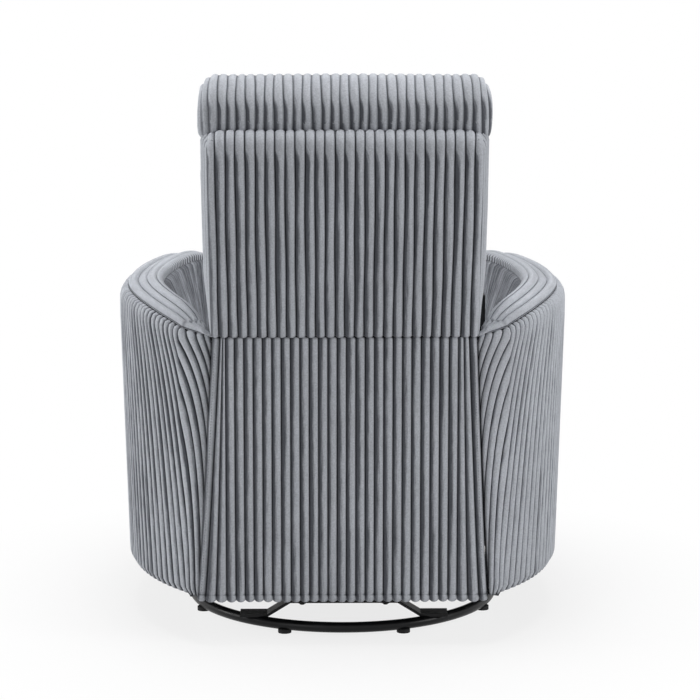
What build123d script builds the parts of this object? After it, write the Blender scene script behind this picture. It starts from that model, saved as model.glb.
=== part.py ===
"""Swivel glider recliner with barrel arms, all sizes in millimetres.

The sitter faces -Y, +Z is up and the origin is on the floor under the swivel axis.
A steel ring stands on eight pads. Two bow bars and two straps across it carry a ball
race, and the glider frame turns on that race. Four hanging links swing between the
glider frame and the two side plates, so the whole seat glides. The side plates carry the
barrel arms, the seat, the reclining back and a two stage scissor linkage on each side
that pushes the footrest out and turns it level.
"""

import os
from math import atan2, cos, degrees, hypot, radians, sin, sqrt

from build123d import *

# ---------------------------------------------------------------- driving dimensions
# Barrel arms; the seat, the side plates and the back take their widths from these
ARM_HALF_WIDTH = 405.0
ARM_WIDTH = 137.0  # of one arm beside the seat
ARM_REAR_WIDTH = 28.4
ARM_FRONT_WIDTH = 40.7
ARM_INNER = ARM_HALF_WIDTH - ARM_WIDTH
ARM_FOOT_SHARE = 392.0 / 405.0
ARM_FRONT_AXIS = 610.0  # half axis of the plan ellipse in front of the widest point
ARM_REAR_AXIS = 450.0
ARM_BOTTOM = 90.0
ARM_TOP = 600.0
ARM_REAR_DROP = 55.0
ARM_FRONT_DROP = 26.0
ARM_DROP_POWER = 1.6  # of the slope down to the rear
ARM_FRONT = -412.0
ARM_REAR = 335.0
ARM_FRONT_BEND = -280.0  # where the top starts to fall to the front
ARM_FRONT_NECK = -250.0  # where the inner face starts to draw in
ARM_REAR_NECK = 120.0
ARM_BAND = 58.0  # width of the padded top band
ARM_ROUNDING = 26.0
ARM_NOSE_INSET = 13.0
ARM_KNEE = 440.0  # height where the inner face starts to lean out
ARM_OUTER_PAD = 18.0
ARM_INNER_PAD = 15.0
ARM_TOP_PAD = 60.0
ARM_KNEE_PAD = 30.0
ARM_STATIONS = (-395.0, -330.0, -220.0, -100.0, 0.0, 90.0, 180.0, 260.0, ARM_REAR)
CAVITY_STATIONS = (-330.0, -220.0, -100.0, 0.0, 90.0, 180.0, 250.0)
ARM_FRAME_GAP = 0.4
PLY = 15.0
ARM_RIBS = (-260.0, -90.0, 80.0)
SPACER_PLACES = (-290.0, 60.0)
SPACER_SIZE = (40.0, 26.0)
SPACER_GAP = 0.7

# Ring base
RING_RADIUS = 277.5  # centre line of the ring tube
TUBE_RADIUS = 9.5
PAD_COUNT = 8
PAD_RADIUS = 12.0
PAD_HEIGHT = 5.0  # floor to the underside of the ring
BOW_OFFSET = 219.0  # centre line of each bow bar from the swivel axis
BOW_WIDTH = 36.0
BOW_THICKNESS = 6.0
BOW_RISE_START = 138.0  # where the bar leaves the level of the ring
BOW_RISE_END = 96.0  # where it reaches its raised middle
BOW_UNDERSIDE = 48.0
STRAP_OFFSET = 75.0
STRAP_WIDTH = 40.0
STRAP_THICKNESS = 5.0
BOLT_RADIUS = 4.0
BOLT_HEAD = 7.5  # corner radius of the hexagon
BOLT_HEAD_HEIGHT = 5.0
HOLE_PLAY = 0.2

# Ball race
RACE_RADIUS = 130.0
RACE_HALF_WIDTH = 18.0
RACE_THICKNESS = 5.0
BALL_RADIUS = 4.0
BALL_COUNT = 8
BALL_PLAY = 0.1
CAGE_HALF_WIDTH = 9.0
CAGE_THICKNESS = 2.0

# Glider frame and its hanging links
RAIL_TUBE = 24.0
RAIL_WALL = 2.0
RAIL_CENTRE = ARM_INNER - 68.0  # of each side tube from the middle
RAIL_HALF_LENGTH = 165.0
CROSS_OFFSET = 90.0
CROSS_WIDTH = 30.0
HANGER_SPAN = 120.0  # of each pivot pair in front of and behind the swivel axis
HANGER_HEIGHT = 133.0  # from the top of the rail to the upper pivot
HANGER_HALF_WIDTH = 25.0
HANGER_PLATE = 3.0
LINK_LENGTH = 118.0  # upper to lower pivot
LINK_WIDTH = 22.0
LINK_THICKNESS = 4.0
BOSS_RADIUS = 10.0
BOSS_THICKNESS = 7.0
PIVOT_RADIUS = 5.0
PIVOT_HEAD = 8.0
RUNNING_PLAY = 0.05  # radial, of a pin in a hole that turns on it
SIDE_PLAY = 0.5  # between parts that turn past each other

# Side plates and seat frame
PLATE_INNER = ARM_INNER - 33.0
PLATE_THICKNESS = 4.0
PLATE_TOP = 350.0
PLATE_EAR = 24.0  # radius round the back pivot
BACK_BOLT_HEAD = 9.0
PLATE_WINDOWS = (  # middle, length and width of each rounded window in the side view
    (-160.0, 275.0, 96.0, 50.0),
    (-30.0, 265.0, 96.0, 56.0),
    (100.0, 265.0, 96.0, 56.0),
    (0.0, 160.0, 96.0, 48.0),
)
WOOD_THICKNESS = 18.0
RAIL_HEIGHT = 30.0
SEAT_RAIL_TOP = 355.0
SEAT_RAIL_FRONT = -350.0
SEAT_RAIL_REAR = 216.0
CROSS_TUBE_RADIUS = 11.0
CROSS_TUBE_PLACE = (200.0, 165.0)
WEB_WIDTH = 50.0
WEB_THICKNESS = 1.5
SEAT_WEBS = 5
SEAT_LONG_WEBS = 4

# Cushions
SOFT_GAP = 0.3
SEAT_HALF_WIDTH = ARM_INNER - 13.0
SEAT_DEPTH = 565.0
SEAT_FRONT = -415.0
SEAT_THICKNESS = 120.0
SEAT_CORNER = 42.0

# Back, drawn upright about its seam and then leaned
BACK_SEAM = (346.0, 547.0)  # Y and Z of the seam under the rear panel
BACK_LEAN = 11.7
BACK_PIVOT = (255.0, 415.0)
PANEL_HALF_WIDTH = PLATE_INNER - 3.0
PANEL_HEIGHT = 371.0
PANEL_THICKNESS = 24.0
PANEL_CORNER = 22.0
POST_WIDTH = 27.5
POST_DEPTH = 34.0
POST_LOW = -170.0
POST_HIGH = PANEL_HEIGHT - 51.0
BACK_RAIL_HEIGHT = 35.0
BACK_WEBS = 5
BRACKET_THICKNESS = 4.0
BRACKET_HIGH = 22.0
BRACKET_EYE = 19.0
BAND_THICKNESS = 6.0
CUSHION_GAP = 2.0
PILLOW_HEIGHT = 130.0
PILLOW_RISE = 72.0  # of its top above the rear panel
MIDDLE_HEIGHT = 130.0
LUMBAR_FOOT = -78.0
PILLOW = (PANEL_HEIGHT + PILLOW_RISE - PILLOW_HEIGHT, PANEL_HEIGHT + PILLOW_RISE)  # low, high
MIDDLE = (PILLOW[0] - CUSHION_GAP - MIDDLE_HEIGHT, PILLOW[0] - CUSHION_GAP)
LUMBAR = (LUMBAR_FOOT, MIDDLE[0] - CUSHION_GAP)
LUMBAR_DEPTH = 115.0
MIDDLE_DEPTH = 106.0
PILLOW_DEPTH = 128.0
PILLOW_REAR = -29.1
LUMBAR_HALF_WIDTH = PANEL_HALF_WIDTH + 20.0
LUMBAR_FOOT_HALF_WIDTH = PANEL_HALF_WIDTH - 2.0
LUMBAR_TAPER = (90.0, 150.0)  # heights above its foot where it widens
MIDDLE_HALF_WIDTH = PANEL_HALF_WIDTH + 23.0
PILLOW_HALF_WIDTH = PANEL_HALF_WIDTH + 26.0
CUSHION_CORNER = 38.0
PILLOW_CORNER = 60.0
CUSHION_STATIONS = (-1.0, -0.9, -0.6, 0.0, 0.6, 0.9, 1.0)  # shares of the half width

# Corduroy ribs of the rear panel and the flap
WALE_PITCH = 17.0
WALE_DEPTH = 4.5
FLAP_TOP = 546.0
FLAP_BOTTOM = 81.0
FLAP_TOP_HALF_WIDTH = PANEL_HALF_WIDTH + 4.0
FLAP_BOTTOM_HALF_WIDTH = PANEL_HALF_WIDTH + 24.0
FLAP_INNER = 335.6
FLAP_THICKNESS = 9.0

# Footrest linkage, seen from the side
DRIVE_PIVOT = (-215.0, 172.0)
THRUST_ANGLE = 26.57  # rise of the footrest's path
HALF_LINK = 86.0
FOLDED_ANGLE = 60.8  # of each link from the thrust line when closed
OPEN_ANGLE = 16.6
FOOTREST_TURN = 90.0
SCISSOR_WIDTH = 20.0
SCISSOR_THICKNESS = 3.5
SCISSOR_OUTER = PLATE_INNER - 3.5
RIVET_RADIUS = 4.0
RIVET_HEAD = 6.5
RIVET_HEAD_HEIGHT = 2.5
HUB_RADIUS = 11.0
DRIVE_TUBE_RADIUS = 9.5
CONTROL_OFFSET = 22.0  # of the bracket's second pin from its first
SLOT_STEPS = 10
SLOT_PLAY = 0.25
SLOT_RIM = 5.0
BOARD_SETBACK = 16.0  # of the footrest board from its pivot
BOARD_THICKNESS = 12.0
BOARD_BELOW = 155.0
BOARD_ABOVE = 60.0
BOARD_CORNER = 12.0
BOARD_HALF_WIDTH = PLATE_INNER
PAD_HALF_WIDTH = BOARD_HALF_WIDTH + 12.0
EAR_FOOT_WIDTH = 26.0
EAR_FOOT_HALF_HEIGHT = 40.0
EAR_FOOT_THICKNESS = 3.0
EAR_ROOT = 26.0  # half height where the ear meets its foot
PAD_DEPTH = 36.0
PAD_CORNER = 16.0

# Release lever
LEVER_PIVOT = (-100.0, 338.0)
LEVER_GAP = 1.5
LEVER_THICKNESS = 4.0
LEVER_LENGTH = 165.0
LEVER_WIDTH = 20.0
PADDLE_SIZE = (14.0, 34.0, 62.0)
PADDLE_ROUNDING = 5.0
GRIP_PLAY = 0.1

# ---------------------------------------------------------------- derived heights
RING_Z = PAD_HEIGHT + TUBE_RADIUS
BOW_TOP = BOW_UNDERSIDE + BOW_THICKNESS
STRAP_TOP = BOW_TOP + STRAP_THICKNESS
LOWER_RACE_TOP = STRAP_TOP + RACE_THICKNESS
BALL_Z = LOWER_RACE_TOP + BALL_RADIUS / 2
UPPER_RACE_BOTTOM = BALL_Z + BALL_RADIUS / 2
FRAME_BOTTOM = UPPER_RACE_BOTTOM + RACE_THICKNESS
FRAME_TOP = FRAME_BOTTOM + RAIL_TUBE
UPPER_PIVOT = FRAME_TOP + HANGER_HEIGHT
LOWER_PIVOT = UPPER_PIVOT - LINK_LENGTH
HANGER_OUTER = RAIL_CENTRE + RAIL_TUBE / 2
LINK_INNER = HANGER_OUTER + SIDE_PLAY
LINK_OUTER = LINK_INNER + BOSS_THICKNESS
WEB_TOP = SEAT_RAIL_TOP + 2 * WEB_THICKNESS
POST_OUTER = PLATE_INNER - SIDE_PLAY - BRACKET_THICKNESS
POST_REAR = -PANEL_THICKNESS
POST_FRONT = POST_REAR - POST_DEPTH
CUSHION_REAR = POST_FRONT - WEB_THICKNESS - SOFT_GAP
LAYER_STEP = SCISSOR_THICKNESS + SIDE_PLAY
OUTER_LAYER = SCISSOR_OUTER - SCISSOR_THICKNESS
INNER_LAYER = OUTER_LAYER - LAYER_STEP
BRACKET_LAYER = INNER_LAYER - LAYER_STEP
CONTROL_LAYER = BRACKET_LAYER - LAYER_STEP
RAIL_OUTER = PLATE_INNER + PLATE_THICKNESS + WOOD_THICKNESS
LEVER_INNER = RAIL_OUTER + LEVER_GAP


# ---------------------------------------------------------------- helpers
def mirrored(shape):
    return mirror(shape, about=Plane.YZ)


def both_sides(shape):
    """The left piece and its mirror image as one group of two solids."""
    return Compound(children=[shape, mirrored(shape)])


def group(shapes):
    return Compound(children=list(shapes))


def across(y, z, radius, x_low, x_high):
    """Round bar along X at one point of the side view."""
    disc = Plane.YZ.offset(x_low) * Pos(y, z) * Circle(radius)
    return extrude(disc, x_high - x_low)


def side_profile(points, x_low, thickness):
    """Plate cut to an outline of the side view."""
    face = make_face(Polyline(*points, close=True))
    return extrude(Plane.YZ.offset(x_low) * face, thickness)


def flat_link(start, end, width, x_low, thickness):
    """Round-ended flat link between two points of the side view."""
    run, rise = end[0] - start[0], end[1] - start[1]
    middle = Pos((start[0] + end[0]) / 2, (start[1] + end[1]) / 2)
    outline = SlotCenterToCenter(hypot(run, rise), width, rotation=degrees(atan2(rise, run)))
    return extrude(Plane.YZ.offset(x_low) * middle * outline, thickness)


def block(x, y, z):
    """Box between pairs of low and high coordinates."""
    size = [high - low for low, high in (x, y, z)]
    centre = [(high + low) / 2 for low, high in (x, y, z)]
    return Pos(*centre) * Box(*size)


def cushion(half_width, depth, height, corner, pinch=0.16):
    """Crowned pad: flat side at y=0, front at y=-depth, ends drawn in."""
    sections = []
    for place in CUSHION_STATIONS:
        share = 1 - sqrt(1 - place**4)
        d = depth * (1 - 2.0 * pinch * share)
        h = height * (1 - pinch * share)
        r = min(corner * (1 - 0.5 * pinch * share), 0.49 * d, 0.49 * h)
        plane = Plane.YZ.offset(place * half_width)
        sections.append(plane * Pos(-d / 2, 0) * RectangleRounded(d, h, r))
    return loft(sections, ruled=True)


def leaned(shape):
    """Moves a piece drawn upright about the back's seam to its place."""
    return Pos(0, *BACK_SEAM) * Rot(-BACK_LEAN, 0, 0) * shape


def back_local(y, z):
    """A side view point in the back's own upright drawing."""
    dy, dz, lean = y - BACK_SEAM[0], z - BACK_SEAM[1], radians(BACK_LEAN)
    return dy * cos(lean) - dz * sin(lean), dy * sin(lean) + dz * cos(lean)


def ribbed_sheet(half_width, inner, outer, low, high):
    """Upright sheet with rounded ribs on its +Y face."""
    count = round(2 * half_width / WALE_PITCH)
    pitch = 2 * half_width / count
    groove = outer - WALE_DEPTH
    edges = []
    for i in range(count):
        x = -half_width + i * pitch
        edges.append(ThreePointArc((x, groove), (x + pitch / 2, outer), (x + pitch, groove)))
    left, right = -half_width, half_width
    edges.append(Polyline((right, groove), (right, inner), (left, inner), (left, groove)))
    return Pos(0, 0, low) * extrude(make_face(edges), high - low)


# ---------------------------------------------------------------- ring base
def base_ring():
    return Pos(0, 0, RING_Z) * Torus(RING_RADIUS, TUBE_RADIUS)


def foot_pads():
    pad = Pos(RING_RADIUS, 0, PAD_HEIGHT / 2 + 1) * Cylinder(PAD_RADIUS, PAD_HEIGHT + 2)
    pad -= base_ring()
    step = 360 / PAD_COUNT
    return group(Rot(0, 0, step * (i + 0.5)) * pad for i in range(PAD_COUNT))


def bolt_places():
    return [(x, y) for x in (-STRAP_OFFSET, STRAP_OFFSET) for y in (-BOW_OFFSET, BOW_OFFSET)]


def bow_bar(sign):
    """Flat bar bent up in the middle, its ends notched over the ring tube."""
    seat = RING_Z + TUBE_RADIUS - 2
    end = sqrt(RING_RADIUS**2 - BOW_OFFSET**2) + 16
    low = [(-end, seat), (-BOW_RISE_START, seat), (-BOW_RISE_END, BOW_UNDERSIDE)]
    low += [(-x, z) for x, z in reversed(low)]
    high = [(x, z + BOW_THICKNESS) for x, z in reversed(low)]
    face = make_face(Polyline(*low, *high, close=True))
    bar = Pos(0, sign * BOW_OFFSET, 0) * extrude(Plane.XZ * face, BOW_WIDTH / 2, both=True)
    for x, y in bolt_places():
        bar -= Pos(x, y, BOW_TOP) * Cylinder(BOLT_RADIUS + HOLE_PLAY, 3 * BOW_THICKNESS)
    return bar - base_ring()


def base_strap(sign):
    half = BOW_OFFSET + BOW_WIDTH / 2
    middle = sign * STRAP_OFFSET
    strap = block(
        (middle - STRAP_WIDTH / 2, middle + STRAP_WIDTH / 2), (-half, half), (BOW_TOP, STRAP_TOP)
    )
    for x, y in bolt_places():
        strap -= Pos(x, y, STRAP_TOP) * Cylinder(BOLT_RADIUS + HOLE_PLAY, 3 * STRAP_THICKNESS)
    return strap


def base_bolts():
    """Hexagon bolts with nuts that hold the straps to the bow bars."""
    bolts = []
    for x, y in bolt_places():
        head = extrude(Pos(x, y, STRAP_TOP) * RegularPolygon(BOLT_HEAD, 6), BOLT_HEAD_HEIGHT)
        nut = extrude(Pos(x, y, BOW_UNDERSIDE) * RegularPolygon(BOLT_HEAD, 6), -BOLT_HEAD_HEIGHT)
        shank_bottom = BOW_UNDERSIDE - BOLT_HEAD_HEIGHT - 2
        shank = extrude(Pos(x, y, shank_bottom) * Circle(BOLT_RADIUS), STRAP_TOP - shank_bottom)
        bolts.append(head + shank + nut)
    return group(bolts)


def race_section(bottom):
    centre = bottom + RACE_THICKNESS / 2
    plate = Plane.XZ * Pos(RACE_RADIUS, centre) * Rectangle(2 * RACE_HALF_WIDTH, RACE_THICKNESS)
    flats = RegularPolygon(BALL_RADIUS + BALL_PLAY, 8, major_radius=False, rotation=22.5)
    groove = Plane.XZ * Pos(RACE_RADIUS, BALL_Z) * flats
    return plate - groove


def race(bottom):
    return revolve(race_section(bottom), Axis.Z)


def ball_places():
    step = 360 / BALL_COUNT
    return [Rot(0, 0, i * step) * Pos(RACE_RADIUS, 0, BALL_Z) for i in range(BALL_COUNT)]


def race_balls():
    return group(place * Sphere(BALL_RADIUS) for place in ball_places())


def ball_cage():
    """Thin ring that keeps the balls apart."""
    outer = Cylinder(RACE_RADIUS + CAGE_HALF_WIDTH, CAGE_THICKNESS)
    cage = Pos(0, 0, BALL_Z) * (outer - Cylinder(RACE_RADIUS - CAGE_HALF_WIDTH, CAGE_THICKNESS))
    for place in ball_places():
        cage -= place * Cylinder(BALL_RADIUS + HOLE_PLAY, 2 * CAGE_THICKNESS)
    return cage


# ---------------------------------------------------------------- glider frame
def glider_rail():
    outer = RAIL_TUBE / 2
    inner = outer - RAIL_WALL
    middle = FRAME_BOTTOM + outer
    tube = block(
        (RAIL_CENTRE - outer, RAIL_CENTRE + outer),
        (-RAIL_HALF_LENGTH, RAIL_HALF_LENGTH),
        (middle - outer, middle + outer),
    )
    return tube - block(
        (RAIL_CENTRE - inner, RAIL_CENTRE + inner),
        (-RAIL_HALF_LENGTH - 1, RAIL_HALF_LENGTH + 1),
        (middle - inner, middle + inner),
    )


def glider_cross(sign):
    half = RAIL_CENTRE - RAIL_TUBE / 2
    y = sign * CROSS_OFFSET
    wide = CROSS_WIDTH / 2
    tube = block((-half, half), (y - wide, y + wide), (FRAME_BOTTOM, FRAME_TOP))
    wide -= RAIL_WALL
    return tube - block(
        (-half - 1, half + 1), (y - wide, y + wide), (FRAME_BOTTOM + RAIL_WALL, FRAME_TOP - RAIL_WALL)
    )


def hanger(sign):
    """Upright bracket on the left rail that holds one upper pivot."""
    y = sign * HANGER_SPAN
    plate_low = HANGER_OUTER - HANGER_PLATE
    outline = [
        (y - HANGER_HALF_WIDTH, FRAME_TOP),
        (y + HANGER_HALF_WIDTH, FRAME_TOP),
        (y + PIVOT_HEAD + 6, UPPER_PIVOT),
        (y - PIVOT_HEAD - 6, UPPER_PIVOT),
    ]
    plate = side_profile(outline, plate_low, HANGER_PLATE)
    plate += across(y, UPPER_PIVOT, PIVOT_HEAD + 6, plate_low, HANGER_OUTER)
    foot = block(
        (RAIL_CENTRE - RAIL_TUBE / 2, HANGER_OUTER),
        (y - HANGER_HALF_WIDTH, y + HANGER_HALF_WIDTH),
        (FRAME_TOP, FRAME_TOP + HANGER_PLATE),
    )
    rib_points = [
        (RAIL_CENTRE - RAIL_TUBE / 2, FRAME_TOP),
        (plate_low, FRAME_TOP),
        (plate_low, FRAME_TOP + 0.6 * HANGER_HEIGHT),
    ]
    rib = Pos(0, y, 0) * extrude(
        Plane.XZ * make_face(Polyline(*rib_points, close=True)), HANGER_PLATE / 2, both=True
    )
    hole = across(y, UPPER_PIVOT, PIVOT_RADIUS + RUNNING_PLAY, plate_low - 1, HANGER_OUTER + 1)
    return plate + foot + rib - hole


def hanger_pins():
    """Four shoulder pins in the hangers, headed at both ends."""
    pins = []
    for sign in (-1, 1):
        y = sign * HANGER_SPAN
        inner = HANGER_OUTER - HANGER_PLATE
        pin = across(y, UPPER_PIVOT, PIVOT_RADIUS, inner - 4, LINK_OUTER + SIDE_PLAY)
        pin += across(y, UPPER_PIVOT, PIVOT_HEAD, inner - 4, inner)
        pin += across(y, UPPER_PIVOT, PIVOT_HEAD, LINK_OUTER + SIDE_PLAY, LINK_OUTER + SIDE_PLAY + 3)
        pins += [pin, mirrored(pin)]
    return group(pins)


def hanging_link(sign):
    """Flat link with a thicker boss round each pivot."""
    y = sign * HANGER_SPAN
    low = LINK_INNER + (BOSS_THICKNESS - LINK_THICKNESS) / 2
    link = flat_link((y, LOWER_PIVOT), (y, UPPER_PIVOT), LINK_WIDTH, low, LINK_THICKNESS)
    for z in (LOWER_PIVOT, UPPER_PIVOT):
        link += across(y, z, BOSS_RADIUS, LINK_INNER, LINK_OUTER)
    for z in (LOWER_PIVOT, UPPER_PIVOT):
        link -= across(y, z, PIVOT_RADIUS + RUNNING_PLAY, LINK_INNER - 1, LINK_OUTER + 1)
    return link


# ---------------------------------------------------------------- side plates and seat
def side_plate():
    """Steel plate that carries the glide pivots, the scissor pivot and the back pivot."""
    top, rear, ear = PLATE_TOP, SEAT_RAIL_REAR, PLATE_EAR
    outline = [
        (SEAT_RAIL_FRONT, top),
        (SEAT_RAIL_FRONT, top - RAIL_HEIGHT),
        (DRIVE_PIVOT[0] - 30, DRIVE_PIVOT[1] - 20),
        (-HANGER_SPAN - 20, LOWER_PIVOT - 19),
        (HANGER_SPAN + 20, LOWER_PIVOT - 19),
        (CROSS_TUBE_PLACE[0] + 26, CROSS_TUBE_PLACE[1] - 40),
        (BACK_PIVOT[0] + ear, BACK_PIVOT[1] - 110),
        (BACK_PIVOT[0] + ear, BACK_PIVOT[1]),
        (BACK_PIVOT[0] - ear, BACK_PIVOT[1]),
        (rear - 12, top),
    ]
    plate = side_profile(outline, PLATE_INNER, PLATE_THICKNESS)
    plate += across(*BACK_PIVOT, ear, PLATE_INNER, PLATE_INNER + PLATE_THICKNESS)
    reach = (PLATE_INNER - 1, PLATE_INNER + PLATE_THICKNESS + 1)
    plate -= across(*BACK_PIVOT, PIVOT_RADIUS + RUNNING_PLAY, *reach)
    for y, z, length, width in PLATE_WINDOWS:
        slot = Plane.YZ.offset(reach[0]) * Pos(y, z) * SlotOverall(length, width)
        plate -= extrude(slot, reach[1] - reach[0])
    return plate


def carriage_pins():
    """Shouldered glide pins, scissor pins and back pivot bolts fixed to the side plates."""
    pins = []
    for sign in (-1, 1):
        y = sign * HANGER_SPAN
        pin = across(y, LOWER_PIVOT, PIVOT_HEAD, LINK_OUTER + SIDE_PLAY, PLATE_INNER)
        pin += across(y, LOWER_PIVOT, PIVOT_RADIUS, LINK_INNER + 0.1, PLATE_INNER)
        pins.append(pin)
    hub_end = SCISSOR_OUTER - LAYER_STEP - SCISSOR_THICKNESS - 2
    scissor = across(*DRIVE_PIVOT, PIVOT_RADIUS, hub_end, PLATE_INNER)
    scissor += across(*DRIVE_PIVOT, PIVOT_HEAD, SCISSOR_OUTER + SIDE_PLAY, PLATE_INNER)
    pins.append(scissor)
    outer = PLATE_INNER + PLATE_THICKNESS
    bolt = across(*BACK_PIVOT, PIVOT_RADIUS, POST_OUTER + 0.2, outer)
    bolt += across(*BACK_PIVOT, BACK_BOLT_HEAD, outer, outer + 4)
    pins.append(bolt)
    return group(pins + [mirrored(pin) for pin in pins] + [lever_pin()])


def lever_pin():
    """Headed pin in the right side rail that the release lever turns on."""
    outer = RAIL_OUTER
    end = LEVER_INNER + LEVER_THICKNESS
    pin = across(*LEVER_PIVOT, RIVET_RADIUS, outer, end + SIDE_PLAY)
    pin += across(*LEVER_PIVOT, RIVET_HEAD, end + SIDE_PLAY, end + SIDE_PLAY + RIVET_HEAD_HEIGHT)
    return mirrored(pin)


def cross_tube():
    half, bore = PLATE_INNER, CROSS_TUBE_RADIUS - RAIL_WALL
    tube = across(*CROSS_TUBE_PLACE, CROSS_TUBE_RADIUS, -half, half)
    return tube - across(*CROSS_TUBE_PLACE, bore, -half - 1, half + 1)


def seat_side_rail():
    x = (PLATE_INNER + PLATE_THICKNESS, RAIL_OUTER)
    z = (SEAT_RAIL_TOP - RAIL_HEIGHT, SEAT_RAIL_TOP)
    return block(x, (SEAT_RAIL_FRONT, SEAT_RAIL_REAR), z)


def seat_end_rail(y):
    low = SEAT_RAIL_TOP - RAIL_HEIGHT + 1
    return block((-PLATE_INNER, PLATE_INNER), (y, y + WOOD_THICKNESS), (low, SEAT_RAIL_TOP))


def seat_webbing():
    """Elastic straps across the rails, with lengthwise straps laid over them."""
    half = RAIL_OUTER - 4
    span = SEAT_RAIL_REAR - SEAT_RAIL_FRONT - 2 * WOOD_THICKNESS - WEB_WIDTH
    wide = WEB_WIDTH / 2
    straps = []
    for i in range(SEAT_WEBS):
        y = SEAT_RAIL_FRONT + WOOD_THICKNESS + wide + span * i / (SEAT_WEBS - 1)
        z = (SEAT_RAIL_TOP, SEAT_RAIL_TOP + WEB_THICKNESS)
        straps.append(block((-half, half), (y - wide, y + wide), z))
    for i in range(SEAT_LONG_WEBS):
        x = (i - (SEAT_LONG_WEBS - 1) / 2) * 2 * (half - WEB_WIDTH) / SEAT_LONG_WEBS
        z = (SEAT_RAIL_TOP + WEB_THICKNESS, WEB_TOP)
        straps.append(block((x - wide, x + wide), (SEAT_RAIL_FRONT, SEAT_RAIL_REAR), z))
    return group(straps)


def seat_cushion():
    pad = cushion(SEAT_HALF_WIDTH, SEAT_THICKNESS, SEAT_DEPTH, SEAT_CORNER, pinch=0.06)
    middle = SEAT_FRONT + SEAT_DEPTH / 2
    return Pos(0, middle, WEB_TOP + SOFT_GAP) * Rot(-90, 0, 0) * pad


# ---------------------------------------------------------------- barrel arms
def arm_outer(y):
    """Half width of the barrel at its top, from the plan's two half ellipses."""
    axis = ARM_FRONT_AXIS if y < 0 else ARM_REAR_AXIS
    return ARM_HALF_WIDTH * sqrt(1 - (y / axis) ** 2)


def arm_inner(y):
    """Inner face at seat height: straight beside the seat, drawn in at both ends."""
    rear = min(1.0, max(0.0, (y - ARM_REAR_NECK) / (ARM_REAR - ARM_REAR_NECK))) ** 2
    front = min(1.0, max(0.0, (ARM_FRONT_NECK - y) / (ARM_FRONT_NECK - ARM_FRONT)))
    rear_inner = arm_outer(ARM_REAR) - ARM_REAR_WIDTH
    front_inner = arm_outer(ARM_FRONT) - ARM_FRONT_WIDTH
    return ARM_INNER - (ARM_INNER - rear_inner) * rear - (ARM_INNER - front_inner) * front


def arm_height(y):
    """Top of the arm: level beside the seat, sloping down to the rear, eased at the front."""
    if y > 0:
        return ARM_TOP - ARM_REAR_DROP * (y / ARM_REAR) ** ARM_DROP_POWER
    share = max(0.0, ARM_FRONT_BEND - y) / (ARM_FRONT_BEND - ARM_FRONT)
    return ARM_TOP - ARM_FRONT_DROP * share**2


def arm_section(y, inset=0.0):
    """Outline of the left arm across X and Z, drawn in all round by an inset."""
    outer, inner, top = arm_outer(y) - inset, arm_inner(y) + inset, arm_height(y) - inset
    band = min(ARM_BAND, outer - inner - 3)
    shoulder = top - ARM_ROUNDING
    foot = (arm_outer(y) * ARM_FOOT_SHARE - inset, ARM_BOTTOM)
    line = Polyline((inner, ARM_KNEE), (inner, ARM_BOTTOM), foot, (outer, shoulder))
    crown = ThreePointArc((outer, shoulder), (outer - band / 2, top), (outer - band, shoulder))
    lean = Line((outer - band, shoulder), (inner, ARM_KNEE))
    return Plane.XZ.offset(-y) * make_face([line, crown, lean])


def arm_cavity_section(y, gap=0.0):
    """Outline of the hollow that holds the wooden frame."""
    outer, inner = arm_outer(y) - ARM_OUTER_PAD - gap, arm_inner(y) + ARM_INNER_PAD + gap
    top = arm_height(y) - ARM_TOP_PAD - gap
    bottom = ARM_BOTTOM - 1 + gap * 5
    foot = arm_outer(y) * ARM_FOOT_SHARE - ARM_OUTER_PAD - gap
    knee = max(inner, outer - ARM_BAND + 2 * ARM_OUTER_PAD + 2 * gap) + 1
    points = [(inner, ARM_KNEE - ARM_KNEE_PAD), (inner, bottom), (foot, bottom), (outer, top), (knee, top)]
    return Plane.XZ.offset(-y) * make_face(Polyline(*points, close=True))


def arm_cavity(gap=0.0):
    return loft([arm_cavity_section(y, gap) for y in CAVITY_STATIONS], ruled=True)


def arm_cover():
    """Padded barrel shell of the left arm, hollow inside."""
    sections = [arm_section(ARM_FRONT, inset=ARM_NOSE_INSET)]
    sections += [arm_section(y) for y in ARM_STATIONS]
    return loft(sections, ruled=True) - arm_cavity()


def arm_frame():
    """Plywood frame of the left arm: an inner panel and a floor board joined by ribs."""
    room = arm_cavity(gap=ARM_FRAME_GAP)
    low = ARM_INNER + ARM_INNER_PAD
    reach = (ARM_RIBS[0] - 2.5 * PLY, ARM_RIBS[-1] + 2 * PLY)
    panel = block((low - 1, low + PLY), reach, (ARM_BOTTOM, ARM_KNEE - PLY))
    floor_x = (ARM_INNER - ARM_REAR_WIDTH, ARM_HALF_WIDTH)
    floor_board = block(floor_x, (ARM_FRONT, ARM_REAR), (ARM_BOTTOM, ARM_BOTTOM + PLY))
    frame = (panel & room) + (floor_board & room)
    for y in ARM_RIBS:
        rib = block((low, ARM_HALF_WIDTH), (y - PLY / 2, y + PLY / 2), (ARM_BOTTOM, ARM_TOP))
        frame += rib & room
    return frame


def arm_spacers():
    """Wooden blocks between the seat rails and the arms."""
    low = RAIL_OUTER
    length, height = SPACER_SIZE
    blocks = []
    for y in SPACER_PLACES:
        top = SEAT_RAIL_TOP - 2
        reach = min(arm_inner(y - length / 2), arm_inner(y + length / 2)) - SPACER_GAP
        spacer = block((low, reach), (y - length / 2, y + length / 2), (top - height, top))
        blocks += [spacer, mirrored(spacer)]
    return group(blocks)


# ---------------------------------------------------------------- back
def back_post():
    y = (POST_FRONT, POST_REAR)
    return leaned(block((POST_OUTER - POST_WIDTH, POST_OUTER), y, (POST_LOW, POST_HIGH)))


def back_rail(top):
    half = POST_OUTER - POST_WIDTH
    return leaned(block((-half, half), (POST_FRONT, POST_REAR), (top - BACK_RAIL_HEIGHT, top)))


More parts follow.
